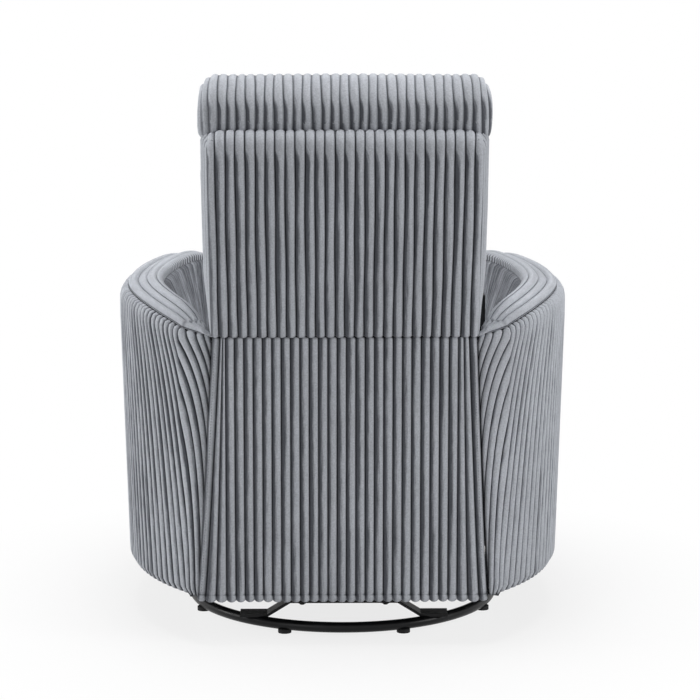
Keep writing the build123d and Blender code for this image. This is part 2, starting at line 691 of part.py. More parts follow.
def back_bracket():
    """Plate on the outside of the post that turns on the back pivot."""
    pivot = back_local(*BACK_PIVOT)
    outline = [
        (POST_FRONT - 12, pivot[1]),
        (POST_REAR - 4, pivot[1]),
        (POST_REAR - 4, BRACKET_HIGH),
        (POST_FRONT + 6, BRACKET_HIGH),
        (POST_FRONT, BRACKET_HIGH - 40),
    ]
    plate = side_profile(outline, POST_OUTER, BRACKET_THICKNESS)
    outer = POST_OUTER + BRACKET_THICKNESS
    plate += across(*pivot, BRACKET_EYE, POST_OUTER, outer)
    plate -= across(*pivot, PIVOT_RADIUS + RUNNING_PLAY, POST_OUTER - 1, outer + 1)
    return leaned(plate)


def back_webbing():
    """Elastic straps across the front of the back posts."""
    low, high = LUMBAR[0] + WEB_WIDTH, POST_HIGH - WEB_WIDTH / 2
    x = (-POST_OUTER + 2, POST_OUTER - 2)
    y = (POST_FRONT - WEB_THICKNESS, POST_FRONT)
    straps = []
    for i in range(BACK_WEBS):
        z = low + (high - low) * i / (BACK_WEBS - 1)
        straps.append(leaned(block(x, y, (z - WEB_WIDTH / 2, z + WEB_WIDTH / 2))))
    return group(straps)


def back_side_band():
    """Narrow boxing that closes the back's side between the rear panel and the cushions."""
    y = (POST_FRONT, POST_REAR)
    return leaned(block((POST_OUTER, POST_OUTER + BAND_THICKNESS), y, (BRACKET_HIGH + 8, POST_HIGH)))


def back_rear_panel():
    """Ribbed rear panel with rounded top corners and a rounded top edge."""
    sheet = ribbed_sheet(PANEL_HALF_WIDTH, -PANEL_THICKNESS, 0.0, 2.0, PANEL_HEIGHT)
    size = (2 * PANEL_HALF_WIDTH, PANEL_HEIGHT + 2 * PANEL_CORNER)
    outline = Pos(0, PANEL_HEIGHT / 2 - PANEL_CORNER) * RectangleRounded(*size, PANEL_CORNER)
    sheet &= extrude(Plane.XZ * outline, 2 * PANEL_THICKNESS, both=True)
    front, top = -PANEL_THICKNESS - 1, PANEL_HEIGHT + 1
    shoulder = PANEL_HEIGHT - PANEL_CORNER
    edge = Polyline((front, top), (front, 0), (1, 0), (1, shoulder))
    bulge = PANEL_CORNER / 4
    crown = ThreePointArc((1, shoulder), (-bulge, PANEL_HEIGHT - bulge), (front, top))
    rounding = Plane.YZ * make_face([edge, crown])
    return leaned(sheet & extrude(rounding, 2 * PANEL_HALF_WIDTH, both=True))


def back_cushion(span, half_width, depth, corner, rear=CUSHION_REAR):
    low, high = span
    return Pos(0, rear, (low + high) / 2) * cushion(half_width, depth, high - low, corner)


def lumbar_cushion():
    """Lowest back cushion, narrowed at its foot to pass between the arms."""
    pad = back_cushion(LUMBAR, LUMBAR_HALF_WIDTH, LUMBAR_DEPTH, CUSHION_CORNER)
    foot, full = LUMBAR_FOOT_HALF_WIDTH, LUMBAR_HALF_WIDTH
    low, high = LUMBAR
    taper_low, taper_high = low + LUMBAR_TAPER[0], low + LUMBAR_TAPER[1]
    right = [(foot, low - 1), (foot, taper_low), (full, taper_high), (full, high + 1)]
    left = [(-x, z) for x, z in reversed(right)]
    face = make_face(Polyline(*right, *left, close=True))
    front = extrude(Plane.XZ * face, 2 * LUMBAR_DEPTH, both=True)
    return leaned(pad & front)


def middle_cushion():
    return leaned(back_cushion(MIDDLE, MIDDLE_HALF_WIDTH, MIDDLE_DEPTH, CUSHION_CORNER))


def head_pillow():
    pad = back_cushion(PILLOW, PILLOW_HALF_WIDTH, PILLOW_DEPTH, PILLOW_CORNER, rear=PILLOW_REAR)
    return leaned(pad)


def rear_flap():
    """Ribbed flap that hangs from the seam and widens towards its hem."""
    half, outer = FLAP_BOTTOM_HALF_WIDTH, FLAP_INNER + FLAP_THICKNESS + WALE_DEPTH
    sheet = ribbed_sheet(half + WALE_PITCH / 2, FLAP_INNER, outer, FLAP_BOTTOM, FLAP_TOP)
    outline = [
        (-FLAP_BOTTOM_HALF_WIDTH, FLAP_BOTTOM),
        (FLAP_BOTTOM_HALF_WIDTH, FLAP_BOTTOM),
        (FLAP_TOP_HALF_WIDTH, FLAP_TOP),
        (-FLAP_TOP_HALF_WIDTH, FLAP_TOP),
    ]
    shape = Plane.XZ * make_face(Polyline(*outline, close=True))
    return sheet & extrude(shape, 2 * outer, both=True)


# ---------------------------------------------------------------- footrest linkage
def along(start, length, angle):
    """Point of the side view at a forward distance; angles rise towards the front."""
    return start[0] - length * cos(radians(angle)), start[1] + length * sin(radians(angle))


def scissor_points(spread):
    """Pivots of the two stage scissor for one angle between links and thrust line."""
    down, up = THRUST_ANGLE - spread, THRUST_ANGLE + spread
    middle = along(DRIVE_PIVOT, 2 * HALF_LINK * cos(radians(spread)), THRUST_ANGLE)
    return {
        "lower_rear": along(DRIVE_PIVOT, HALF_LINK, down),
        "upper_rear": along(DRIVE_PIVOT, HALF_LINK, up),
        "crossing": middle,
        "lower_front": along(middle, HALF_LINK, down),
        "upper_front": along(middle, HALF_LINK, up),
        "bracket": along(DRIVE_PIVOT, 4 * HALF_LINK * cos(radians(spread)), THRUST_ANGLE),
    }


CLOSED = scissor_points(FOLDED_ANGLE)
OPENED = scissor_points(OPEN_ANGLE)


def turn_angle(start, end):
    """Rise of the line from one side view point to another, seen towards the front."""
    return degrees(atan2(end[1] - start[1], start[0] - end[0]))


def control_pin(points, turn):
    """The bracket's second pin, on the bisector of the control link's end directions."""
    first = turn_angle(CLOSED["bracket"], CLOSED["lower_front"])
    last = turn_angle(OPENED["bracket"], OPENED["lower_front"])
    bisector = (first + last - FOOTREST_TURN) / 2
    return along(points["bracket"], CONTROL_OFFSET, bisector + turn)


CONTROL_CLOSED = control_pin(CLOSED, 0.0)
CONTROL_OPENED = control_pin(OPENED, FOOTREST_TURN)


def rivet(place, x_low, x_high):
    """Shank through both link layers, headed on its free side."""
    pin = across(*place, RIVET_RADIUS, x_low, x_high)
    return pin + across(*place, RIVET_HEAD, x_high, x_high + RIVET_HEAD_HEIGHT)


def link_hole(place, x_low):
    return across(*place, RIVET_RADIUS + RUNNING_PLAY, x_low - 1, x_low + SCISSOR_THICKNESS + 1)


def scissor_link(start, end, x_low):
    return flat_link(start, end, SCISSOR_WIDTH, x_low, SCISSOR_THICKNESS)


def drive_links():
    """First lower links; their hubs pass through the upper links to the drive tube."""
    link = scissor_link(DRIVE_PIVOT, CLOSED["lower_rear"], OUTER_LAYER)
    link += across(*DRIVE_PIVOT, HUB_RADIUS, BRACKET_LAYER, SCISSOR_OUTER)
    link -= across(*DRIVE_PIVOT, PIVOT_RADIUS + RUNNING_PLAY, BRACKET_LAYER - 1, SCISSOR_OUTER + 1)
    link -= link_hole(CLOSED["lower_rear"], OUTER_LAYER)
    return both_sides(link)


def drive_tube():
    tube = across(*DRIVE_PIVOT, DRIVE_TUBE_RADIUS, -BRACKET_LAYER, BRACKET_LAYER)
    return tube - across(*DRIVE_PIVOT, PIVOT_RADIUS + 2, -BRACKET_LAYER - 1, BRACKET_LAYER + 1)


def upper_links():
    link = scissor_link(DRIVE_PIVOT, CLOSED["upper_rear"], INNER_LAYER)
    link += across(*DRIVE_PIVOT, HUB_RADIUS + 5, INNER_LAYER, INNER_LAYER + SCISSOR_THICKNESS)
    link -= across(*DRIVE_PIVOT, HUB_RADIUS + RUNNING_PLAY, INNER_LAYER - 1, OUTER_LAYER)
    link += rivet(CLOSED["upper_rear"], INNER_LAYER, SCISSOR_OUTER)
    return both_sides(link)


def rising_links():
    """Long links from the lower rear pivot up through the crossing."""
    link = scissor_link(CLOSED["lower_rear"], CLOSED["upper_front"], INNER_LAYER)
    for name in ("lower_rear", "crossing", "upper_front"):
        link += rivet(CLOSED[name], INNER_LAYER, SCISSOR_OUTER)
    return both_sides(link)


def falling_links():
    """Long links from the upper rear pivot down through the crossing."""
    link = scissor_link(CLOSED["upper_rear"], CLOSED["lower_front"], OUTER_LAYER)
    for name in ("upper_rear", "crossing", "lower_front"):
        link -= link_hole(CLOSED[name], OUTER_LAYER)
    return both_sides(link)


def bracket_links():
    """Last links that carry the footrest brackets."""
    link = scissor_link(CLOSED["upper_front"], CLOSED["bracket"], OUTER_LAYER)
    link -= link_hole(CLOSED["upper_front"], OUTER_LAYER)
    link -= link_hole(CLOSED["bracket"], OUTER_LAYER)
    return both_sides(link)


def turned(point, centre, angle):
    """A side view point turned about another; positive angles lift the front."""
    run, rise = centre[0] - point[0], point[1] - centre[1]
    c, v = cos(radians(angle)), sin(radians(angle))
    return centre[0] - (run * c - rise * v), centre[1] + run * v + rise * c


def control_path():
    """Places of the bracket's second pin in the closed control link through the travel."""
    path = []
    for i in range(SLOT_STEPS + 1):
        share = i / SLOT_STEPS
        points = scissor_points(FOLDED_ANGLE + (OPEN_ANGLE - FOLDED_ANGLE) * share)
        pin = control_pin(points, FOOTREST_TURN * share)
        shift = [CLOSED["lower_front"][k] - points["lower_front"][k] for k in (0, 1)]
        pin = (pin[0] + shift[0], pin[1] + shift[1])
        path.append(turned(pin, CLOSED["lower_front"], -control_swing() * share))
    return path


def control_links():
    """Links whose curved slot guides the bracket's second pin and so turns the footrest level."""
    path = control_path()
    pivot = CLOSED["lower_front"]
    rim = 2 * (RIVET_RADIUS + SLOT_RIM)
    bore = 2 * (RIVET_RADIUS + SLOT_PLAY)
    link = flat_link(pivot, path[len(path) // 2], rim, CONTROL_LAYER, SCISSOR_THICKNESS)
    for near, far in zip(path, path[1:]):
        link += flat_link(near, far, rim, CONTROL_LAYER, SCISSOR_THICKNESS)
    for near, far in zip(path, path[1:]):
        link -= flat_link(near, far, bore, CONTROL_LAYER - 1, SCISSOR_THICKNESS + 2)
    link += across(*pivot, RIVET_HEAD, CONTROL_LAYER, OUTER_LAYER - SIDE_PLAY)
    link += rivet(pivot, CONTROL_LAYER, SCISSOR_OUTER)
    return both_sides(link)


def control_swing():
    """Turn of the control link over the whole travel."""
    first = turn_angle(CLOSED["lower_front"], CONTROL_CLOSED)
    last = turn_angle(OPENED["lower_front"], CONTROL_OPENED)
    return last - first


def print_motion():
    """Prints what the joints of the footrest linkage follow."""
    travel = FOLDED_ANGLE - OPEN_ANGLE
    print("drive travel", round(travel, 3))
    print("control link ratio to its carrier", round(control_swing() / travel - 1, 4))
    print("footrest ratio to its carrier", round(FOOTREST_TURN / travel - 1, 4))
    print("pivots", {name: (round(y, 2), round(z, 2)) for name, (y, z) in CLOSED.items()})
    print("glide pivots", UPPER_PIVOT, LOWER_PIVOT)


def board_face():
    """Rear face of the footrest board."""
    return CLOSED["bracket"][0] - BOARD_SETBACK


def footrest_brackets():
    """Steel ears behind the footrest board, each with a rivet and a headed slot pin."""
    pivot, control = CLOSED["bracket"], control_pin(CLOSED, 0.0)
    face, middle = board_face(), pivot[1]
    ear = flat_link(pivot, control, SCISSOR_WIDTH + 2, BRACKET_LAYER, SCISSOR_THICKNESS)
    outline = [
        (face, middle - EAR_ROOT),
        (face, middle + EAR_ROOT),
        (pivot[0], middle + SCISSOR_WIDTH / 2),
        (pivot[0], middle - SCISSOR_WIDTH / 2),
    ]
    ear += side_profile(outline, BRACKET_LAYER, SCISSOR_THICKNESS)
    ear += block(
        (BRACKET_LAYER - EAR_FOOT_WIDTH, BRACKET_LAYER + SCISSOR_THICKNESS),
        (face, face + EAR_FOOT_THICKNESS),
        (middle - EAR_FOOT_HALF_HEIGHT, middle + EAR_FOOT_HALF_HEIGHT),
    )
    ear += rivet(pivot, BRACKET_LAYER, SCISSOR_OUTER)
    head = CONTROL_LAYER - SIDE_PLAY
    ear += across(*control, RIVET_RADIUS, head, BRACKET_LAYER)
    ear += across(*control, RIVET_HEAD, head - RIVET_HEAD_HEIGHT, head)
    return both_sides(ear)


def footrest_board():
    z, rear = CLOSED["bracket"][1], board_face()
    x = (-BOARD_HALF_WIDTH, BOARD_HALF_WIDTH)
    board = block(x, (rear - BOARD_THICKNESS, rear), (z - BOARD_BELOW, z + BOARD_ABOVE))
    return fillet(board.edges().filter_by(Axis.Y), BOARD_CORNER)


def footrest_pad():
    z = CLOSED["bracket"][1] + (BOARD_ABOVE - BOARD_BELOW) / 2
    pad = cushion(PAD_HALF_WIDTH, PAD_DEPTH, BOARD_ABOVE + BOARD_BELOW + 6, PAD_CORNER, pinch=0.08)
    return Pos(0, board_face() - BOARD_THICKNESS - SOFT_GAP, z) * pad


# ---------------------------------------------------------------- release lever
def release_lever():
    """Sprung flat lever beside the seat on the sitter's right."""
    y, z = LEVER_PIVOT
    low, high = LEVER_INNER, LEVER_INNER + LEVER_THICKNESS
    lever = flat_link((y, z), (y, z + LEVER_LENGTH), LEVER_WIDTH, low, LEVER_THICKNESS)
    lever -= across(y, z, RIVET_RADIUS + RUNNING_PLAY, low - 1, high + 1)
    return mirrored(lever)


def release_paddle():
    """Rounded plastic grip pushed over the end of the lever."""
    y, z = LEVER_PIVOT
    width, length, height = PADDLE_SIZE
    middle = LEVER_INNER + LEVER_THICKNESS / 2 + 2
    grip = Pos(middle, y, z + LEVER_LENGTH + height / 2 - 8) * Box(width, length, height)
    grip = fillet(grip.edges(), PADDLE_ROUNDING)
    slot_width, slot_depth = LEVER_WIDTH + 2 * GRIP_PLAY, LEVER_THICKNESS + 2 * GRIP_PLAY
    grip -= flat_link((y, z), (y, z + LEVER_LENGTH), slot_width, LEVER_INNER - GRIP_PLAY, slot_depth)
    return mirrored(grip)


# ---------------------------------------------------------------- all nodes
def build():
    nodes = {
        "base_ring": base_ring(),
        "foot_pads": foot_pads(),
        "bow_bar_front": bow_bar(-1),
        "bow_bar_rear": bow_bar(1),
        "base_straps": both_sides(base_strap(1)),
        "base_bolts": base_bolts(),
        "lower_race": race(STRAP_TOP),
        "race_balls": race_balls(),
        "ball_cage": ball_cage(),
        "upper_race": race(UPPER_RACE_BOTTOM),
        "glider_cross_front": glider_cross(-1),
        "glider_cross_rear": glider_cross(1),
        "front_hangers": both_sides(hanger(-1)),
        "rear_hangers": both_sides(hanger(1)),
        "hanger_pins": hanger_pins(),
        "front_links": both_sides(hanging_link(-1)),
        "rear_links": both_sides(hanging_link(1)),
        "carriage_pins": carriage_pins(),
        "cross_tube": cross_tube(),
        "seat_front_rail": seat_end_rail(SEAT_RAIL_FRONT),
        "seat_rear_rail": seat_end_rail(SEAT_RAIL_REAR - WOOD_THICKNESS),
        "seat_webbing": seat_webbing(),
        "seat_cushion": seat_cushion(),
        "arm_spacers": arm_spacers(),
        "back_top_rail": back_rail(POST_HIGH),
        "back_bottom_rail": back_rail(LUMBAR[0]),
        "back_webbing": back_webbing(),
        "back_side_bands": both_sides(back_side_band()),
        "back_rear_panel": back_rear_panel(),
        "lumbar_cushion": lumbar_cushion(),
        "middle_cushion": middle_cushion(),
        "head_pillow": head_pillow(),
        "rear_flap": rear_flap(),
        "drive_tube": drive_tube(),
        "drive_links": drive_links(),
        "upper_links": upper_links(),
        "rising_links": rising_links(),
        "falling_links": falling_links(),
        "bracket_links": bracket_links(),
        "control_links": control_links(),
        "footrest_brackets": footrest_brackets(),
        "footrest_board": footrest_board(),
        "footrest_pad": footrest_pad(),
        "release_lever": release_lever(),
        "release_paddle": release_paddle(),
    }
    pairs = {
        "glider_rail": glider_rail(),
        "side_plate": side_plate(),
        "seat_side_rail": seat_side_rail(),
        "arm_cover": arm_cover(),
        "arm_frame": arm_frame(),
        "back_post": back_post(),
        "back_bracket": back_bracket(),
    }
    for name, shape in pairs.items():
        nodes[name + "_left"] = shape
        nodes[name + "_right"] = mirrored(shape)
    return nodes


def main():
    os.makedirs("parts", exist_ok=True)
    print_motion()
    for name, shape in build().items():
        export_step(shape, f"parts/{name}.step")


main()
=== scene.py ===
"""Looks of the swivel glider recliner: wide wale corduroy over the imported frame.

Everything is in metres, in the frame's own axes: the sitter faces -Y and +Z is up.
The cloth is built as grids of points whose columns follow the wales, so that every rib and
every groove between two ribs is real shape.
"""

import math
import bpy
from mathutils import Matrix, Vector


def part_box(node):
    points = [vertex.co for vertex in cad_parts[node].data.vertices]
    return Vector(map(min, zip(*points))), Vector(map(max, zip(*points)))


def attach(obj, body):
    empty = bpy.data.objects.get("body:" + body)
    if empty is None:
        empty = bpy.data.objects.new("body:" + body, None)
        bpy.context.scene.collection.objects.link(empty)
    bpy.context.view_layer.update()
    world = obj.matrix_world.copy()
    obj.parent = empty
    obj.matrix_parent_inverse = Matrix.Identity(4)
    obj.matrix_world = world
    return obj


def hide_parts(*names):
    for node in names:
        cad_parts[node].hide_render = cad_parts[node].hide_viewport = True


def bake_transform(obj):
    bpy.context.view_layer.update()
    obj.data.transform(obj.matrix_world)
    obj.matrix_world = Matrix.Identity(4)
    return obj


bl_info = {
    "name": "Corduroy Glider Recliner",
    "version": (1, 0, 0),
    "blender": (4, 5, 0),
    "location": "3D View > Sidebar > Recliner",
    "description": "Upholsters and finishes the packed glider recliner frame",
    "category": "Object",
}

import bmesh
import bpy
import numpy as np
from bpy.props import FloatProperty, FloatVectorProperty, PointerProperty
from bpy.types import Operator, Panel, PropertyGroup
from mathutils import Vector

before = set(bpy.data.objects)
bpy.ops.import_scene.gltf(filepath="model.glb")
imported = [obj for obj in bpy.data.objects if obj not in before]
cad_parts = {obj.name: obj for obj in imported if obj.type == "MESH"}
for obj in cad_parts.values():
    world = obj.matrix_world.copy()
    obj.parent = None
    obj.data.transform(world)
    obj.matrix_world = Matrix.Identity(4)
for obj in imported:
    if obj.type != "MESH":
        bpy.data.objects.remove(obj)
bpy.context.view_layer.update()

# ------------------------------------------------------------ sizes the frame was drawn with
BACK_SEAM = (0.346, 0.547)  # Y and Z of the seam under the rear panel
BACK_LEAN = math.radians(11.7)
POST_FRONT = -0.058  # front of the back posts, from the panel's plane
POST_GAP = 0.0018  # between them and the cushions' covers
ARM_HALF_WIDTH = 0.405
ARM_FOOT_SHARE = 392 / 405  # half width at the arm's foot, as a share of that at its top
ARM_FRONT_AXIS = 0.610  # half lengths of the plan's two ellipses, before and behind the middle
ARM_REAR_AXIS = 0.450
ARM_KNEE = 0.440  # Z over which the inner face leans out
ARM_INNER = 0.268  # X of the inner face beside the seat, and at its rear and front ends
ARM_REAR_INNER = 0.242
ARM_FRONT_INNER = 0.258
ARM_FRONT = -0.412
ARM_REAR = 0.335
ARM_BOTTOM = 0.090
ARM_NARROWING = 0.45  # height over the arm's bottom up to which it narrows downward

WALE_STEPS = (0.0, 0.05, 0.13, 0.26, 0.42, 0.58, 0.74, 0.87, 0.95)  # columns across one wale
WELD_DISTANCE = 2e-5


# ------------------------------------------------------------ grids of points
def smooth(share):
    """Share from 0 to 1 that leaves and arrives without a bend."""
    share = np.clip(share, 0.0, 1.0)
    return share * share * (3 - 2 * share)


def side_name(stem, side):
    """Name of a piece on the chair's left, side 1, or right, side -1."""
    return stem + ("_left" if side > 0 else "_right")


def wale_rise(phase):
    """Height of the pile over its groove, 0 to 1, for a place counted in wales."""
    off_crest = np.abs(2 * (phase - np.floor(phase)) - 1)
    return np.sqrt(np.clip(1 - off_crest**2, 0, 1))


def wale_columns(first, last):
    """Places between two counts of wales, closest together beside the grooves."""
    whole = np.arange(math.floor(first) - 1, math.ceil(last) + 1)
    places = (whole[:, None] + np.array(WALE_STEPS)[None]).ravel()
    inside = places[(places > first + 0.02) & (places < last - 0.02)]
    return np.concatenate([[first], inside, [last]])


def path_steps(line):
    """Distance of each point of a polyline from its start."""
    return np.concatenate([[0], np.cumsum(np.linalg.norm(np.diff(line, axis=0), axis=1))])


def read_path(line, steps, places):
    """Points at given distances along a polyline."""
    return np.stack([np.interp(places, steps, values) for values in line.T], axis=-1)


def resample(line, count):
    """Points at even distances along a polyline."""
    line = np.asarray(line, float)
    steps = path_steps(line)
    return read_path(line, steps, np.linspace(0, steps[-1], count))


def grid_normals(points, outward):
    """Unit normals of a grid of points; outward, 1 or -1, picks their side."""
    across, down = np.gradient(points, axis=1), np.gradient(points, axis=0)
    normals = np.cross(across, down) * outward
    return normals / np.maximum(np.linalg.norm(normals, axis=2, keepdims=True), 1e-9)


def grid_quads(rows, columns, start=0, wrap=False, flip=False):
    """Quads between the points of a grid, whose last column may join its first."""
    index = start + np.arange(rows * columns).reshape(rows, columns)
    if wrap:
        index = np.concatenate([index, index[:, :1]], axis=1)
    quads = np.stack([index[:-1, :-1], index[1:, :-1], index[1:, 1:], index[:-1, 1:]], axis=2)
    quads = quads.reshape(-1, 4)
    return quads[:, ::-1] if flip else quads


def make_piece(name, points, faces, cloth, material):
    """Mesh object with the cloth attribute (across, along, rise) that its material reads."""
    mesh = bpy.data.meshes.new(name)
    mesh.from_pydata(points.reshape(-1, 3).tolist(), [], [list(map(int, f)) for f in faces])
    if cloth is not None:
        attribute = mesh.attributes.new("cloth", "FLOAT_VECTOR", "POINT")
        attribute.data.foreach_set("vector", np.asarray(cloth, np.float32).ravel())
    mesh.materials.append(material)
    mesh.polygons.foreach_set("use_smooth", np.ones(len(mesh.polygons), bool))
    weld(mesh)
    mesh.update()
    piece = bpy.data.objects.new(name, mesh)
    bpy.context.scene.collection.objects.link(piece)
    return piece


def weld(mesh):
    """Joins points that lie on each other and drops the faces that this leaves empty."""
    work = bmesh.new()
    work.from_mesh(mesh)
    bmesh.ops.remove_doubles(work, verts=work.verts, dist=WELD_DISTANCE)
    bmesh.ops.dissolve_degenerate(work, edges=work.edges, dist=WELD_DISTANCE / 2)
    work.to_mesh(mesh)
    work.free()


def cloth_values(phase, along, rise):
    """Count of wales, distance along them and pile height; the painted flank shade lies toward a
    falling count.
    """
    return np.stack(np.broadcast_arrays(phase, along, rise), axis=-1)


def soft_cloth(phase, along, rise, flank_shade_lift, least=0.0):
    """The same with the painted flank shade lifted by a share, mostly painted light where the cloth
    faces up; least lifts the painted groove shade too.
    """
    shade = 1 - np.maximum(flank_shade_lift, least)
    whole = np.floor(phase)
    across = whole + 1 - shade + shade * (phase - whole)
    return cloth_values(across, along, least + (1 - least) * rise)


def lit_from_above(normals):
    """Share of painted light where the cloth faces up, which lifts the painted flank shade."""
    return 0.7 * smooth((normals[..., 2] - 0.2) / 0.7)


def ribbed_sheet(
    name, base, phase, along, material, outward, back, depth=0.0, fade=1.0, flank_shade_lift=0.0
):
    """Closed sheet of cloth: wales on its outer side and a plain lining at a distance behind it."""
    rows, columns = base.shape[:2]
    phase, along, fade = (np.broadcast_to(each, (rows, columns)) for each in (phase, along, fade))
    normals = grid_normals(base, outward)
    rise = wale_rise(phase) * fade
    outer = base + normals * (depth * rise)[..., None]
    inner = base - normals * back
    cloth = soft_cloth(-phase, along, rise, flank_shade_lift)
    hidden = cloth_values(-phase, along, 0.5)
    count = rows * columns
    flip = outward > 0
    faces = [grid_quads(rows, columns, flip=flip), grid_quads(rows, columns, count, flip=not flip)]
    index = np.arange(count).reshape(rows, columns)
    rim = np.concatenate([index[0, :], index[1:, -1], index[-1, -2::-1], index[-2:0:-1, 0]])
    following = np.roll(rim, -1)
    edge = np.stack([rim, following, following + count, rim + count], axis=1)
    faces.append(edge if flip else edge[:, ::-1])
    points, values = np.concatenate([outer, inner]), np.concatenate([cloth, hidden])
    return make_piece(name, points, np.concatenate(faces), values, material)


def leaned(points):
    """Points drawn upright about the back's seam, moved to the leaning back."""
    points = np.asarray(points, float)
    lean_cos, lean_sin = math.cos(BACK_LEAN), math.sin(BACK_LEAN)
    y, v = points[..., 1], points[..., 2]
    moved = points.copy()
    moved[..., 1] = BACK_SEAM[0] + y * lean_cos + v * lean_sin
    moved[..., 2] = BACK_SEAM[1] - y * lean_sin + v * lean_cos
    return moved


# ------------------------------------------------------------ materials
def shader(name, **sockets):
    """New material with a Principled shader whose even values sit on its own sockets."""
    material = bpy.data.materials.new(name)
    material.use_nodes = True
    nodes = material.node_tree.nodes
    principled = nodes["Principled BSDF"]
    for socket, value in sockets.items():
        principled.inputs[socket.replace("_", " ")].default_value = value
    return material, material.node_tree, principled


def add_node(tree, kind, **values):
    """New node with values for its sockets or, where it has no such socket, its settings."""
    node = tree.nodes.new(kind)
    for key, value in values.items():
        if key in node.inputs:
            node.inputs[key].default_value = value
        else:
            setattr(node, key, value)
    return node


def noise(tree, scale, detail, roughness, place):
    node = add_node(tree, "ShaderNodeTexNoise", Scale=scale, Detail=detail, Roughness=roughness)
    tree.links.new(place, node.inputs["Vector"])
    return node.outputs["Fac"]


def remap(tree, value, low, high, to_low, to_high):
    """The value with one range spread over another and held at its ends."""
    node = tree.nodes.new("ShaderNodeMapRange")
    tree.links.new(value, node.inputs["Value"])
    ends = {"From Min": low, "From Max": high, "To Min": to_low, "To Max": to_high}
    for socket, number in ends.items():
        node.inputs[socket].default_value = number
    return node.outputs["Result"]


def math_node(tree, operation, first, second):
    """Result of one operation on two sockets or numbers."""
    node = tree.nodes.new("ShaderNodeMath")
    node.operation = operation
    for socket, value in zip(node.inputs, (first, second)):
        if isinstance(value, (int, float)):
            socket.default_value = value
        else:
            tree.links.new(value, socket)
    return node.outputs[0]


def mix_colours(tree, share, first, second, blend="MIX"):
    """Blend of two colours or sockets by a share, which may be a socket too."""
    node = tree.nodes.new("ShaderNodeMix")
    node.data_type = "RGBA"
    node.blend_type = blend
    if isinstance(share, (int, float)):
        node.inputs[0].default_value = share
    else:
        tree.links.new(share, node.inputs[0])
    for socket, value in zip((node.inputs[6], node.inputs[7]), (first, second)):
        if hasattr(value, "__len__"):
            socket.default_value = (*value[:3], 1.0)
        else:
            tree.links.new(value, socket)
    return node.outputs[2]


def add_bump(tree, principled, height, strength, distance, under=None):
    """Fine relief on the shader, on top of the relief under it."""
    bump = add_node(tree, "ShaderNodeBump", Strength=strength, Distance=distance)
    tree.links.new(height, bump.inputs["Height"])
    if under is not None:
        tree.links.new(under, bump.inputs["Normal"])
    tree.links.new(bump.outputs["Normal"], principled.inputs["Normal"])
    return bump.outputs["Normal"]


def object_coordinates(tree):
    return tree.nodes.new("ShaderNodeTexCoord").outputs["Object"]


def grey(value, share):
    """A colour made lighter or darker by one share."""
    return tuple(min(1.0, c * share) for c in value[:3])


def flecked(name, grain, dark, light, bump=None, **sockets):
    """Plain finish whose colour and bump follow one fine noise; made once and then shared."""
    if name in bpy.data.materials:
        return bpy.data.materials[name]
    material, tree, principled = shader(name, **sockets)
    flecks = noise(tree, *grain, object_coordinates(tree))
    tree.links.new(mix_colours(tree, flecks, dark, light), principled.inputs["Base Color"])
    if bump is not None:
        add_bump(tree, principled, flecks, *bump)
    return material


def corduroy(context):
    """Brushed cotton pile, matt, with painted shade: dark in the grooves and on one flank of each
    rib, lighter on the crests.
    """
    if "corduroy_pile" in bpy.data.materials:
        return bpy.data.materials["corduroy_pile"]
    looks = context.scene.recliner_cloth
    material, tree, principled = shader(
        "corduroy_pile",
        Roughness=0.88,
        Sheen_Weight=looks.sheen,
        Sheen_Roughness=0.42,
        Specular_IOR_Level=0.18,
    )
    principled.inputs["Sheen Tint"].default_value = (*looks.sheen_colour, 1.0)
    cloth = add_node(tree, "ShaderNodeAttribute", attribute_name="cloth")
    parts = tree.nodes.new("ShaderNodeSeparateXYZ")
    tree.links.new(cloth.outputs["Vector"], parts.inputs[0])
    streak_place = add_node(tree, "ShaderNodeVectorMath", operation="MULTIPLY")
    streak_place.inputs[1].default_value = (0.017, 0.07, 0.0)
    tree.links.new(cloth.outputs["Vector"], streak_place.inputs[0])
    place = object_coordinates(tree)
    streak_noise = noise(tree, 420.0, 3.0, 0.6, streak_place.outputs[0])

    # painted shade on one flank of each wale and painted light on the other, as if lit from one
    # side
    across = math_node(tree, "FRACT", parts.outputs[0], 0.0)
    ragged = remap(tree, streak_noise, 0.0, 1.0, -looks.ragged, looks.ragged)
    brushing = noise(tree, 55.0, 2.0, 0.5, streak_place.outputs[0])
    brushing = remap(tree, brushing, 0.25, 0.75, -looks.brushing, looks.brushing)
    across = math_node(tree, "ADD", math_node(tree, "ADD", across, ragged), brushing)
    shaded = remap(tree, across, *looks.shaded_flank_edge, 0.0, 1.0)
    shaded.node.interpolation_type = "SMOOTHSTEP"
    # painted shade in the grooves: where the pile is low the groove shade colour is mixed in
    rise = remap(tree, parts.outputs[2], 0.3, 0.72, 0.0, 1.0)
    flank = mix_colours(tree, shaded, looks.shaded_flank_colour, looks.crest_colour)
    colour = mix_colours(tree, rise, looks.groove_shade_colour, flank)
    for amount, flecks, contrast in (
        (0.55, noise(tree, 7.0, 4.0, 0.55, place), 0.08),
        (0.4, streak_noise, 0.1),
        (0.6, noise(tree, 360.0, 3.0, 0.7, place), 0.14),
    ):
        share = remap(tree, flecks, 0.3, 0.7, 0.0, 1.0)
        shade = mix_colours(tree, share, (0.5 - contrast,) * 3, (0.5 + contrast,) * 3)
        colour = mix_colours(tree, amount, colour, shade, "OVERLAY")
    tree.links.new(colour, principled.inputs["Base Color"])
    pile = noise(tree, 1400.0, 2.0, 0.6, place)
    under = add_bump(tree, principled, streak_noise, 0.35, 0.0012)
    add_bump(tree, principled, pile, 0.25, 0.0006, under)
    return material


def lining(context):
    """Thin black cloth under the arms and over the frame's boards."""
    return flecked(
        "underside_cloth", (500.0, 3.0, 0.7), (0.012, 0.012, 0.013), (0.035, 0.035, 0.037),
        bump=(0.3, 0.0006), Roughness=0.95, Specular_IOR_Level=0.1,
    )


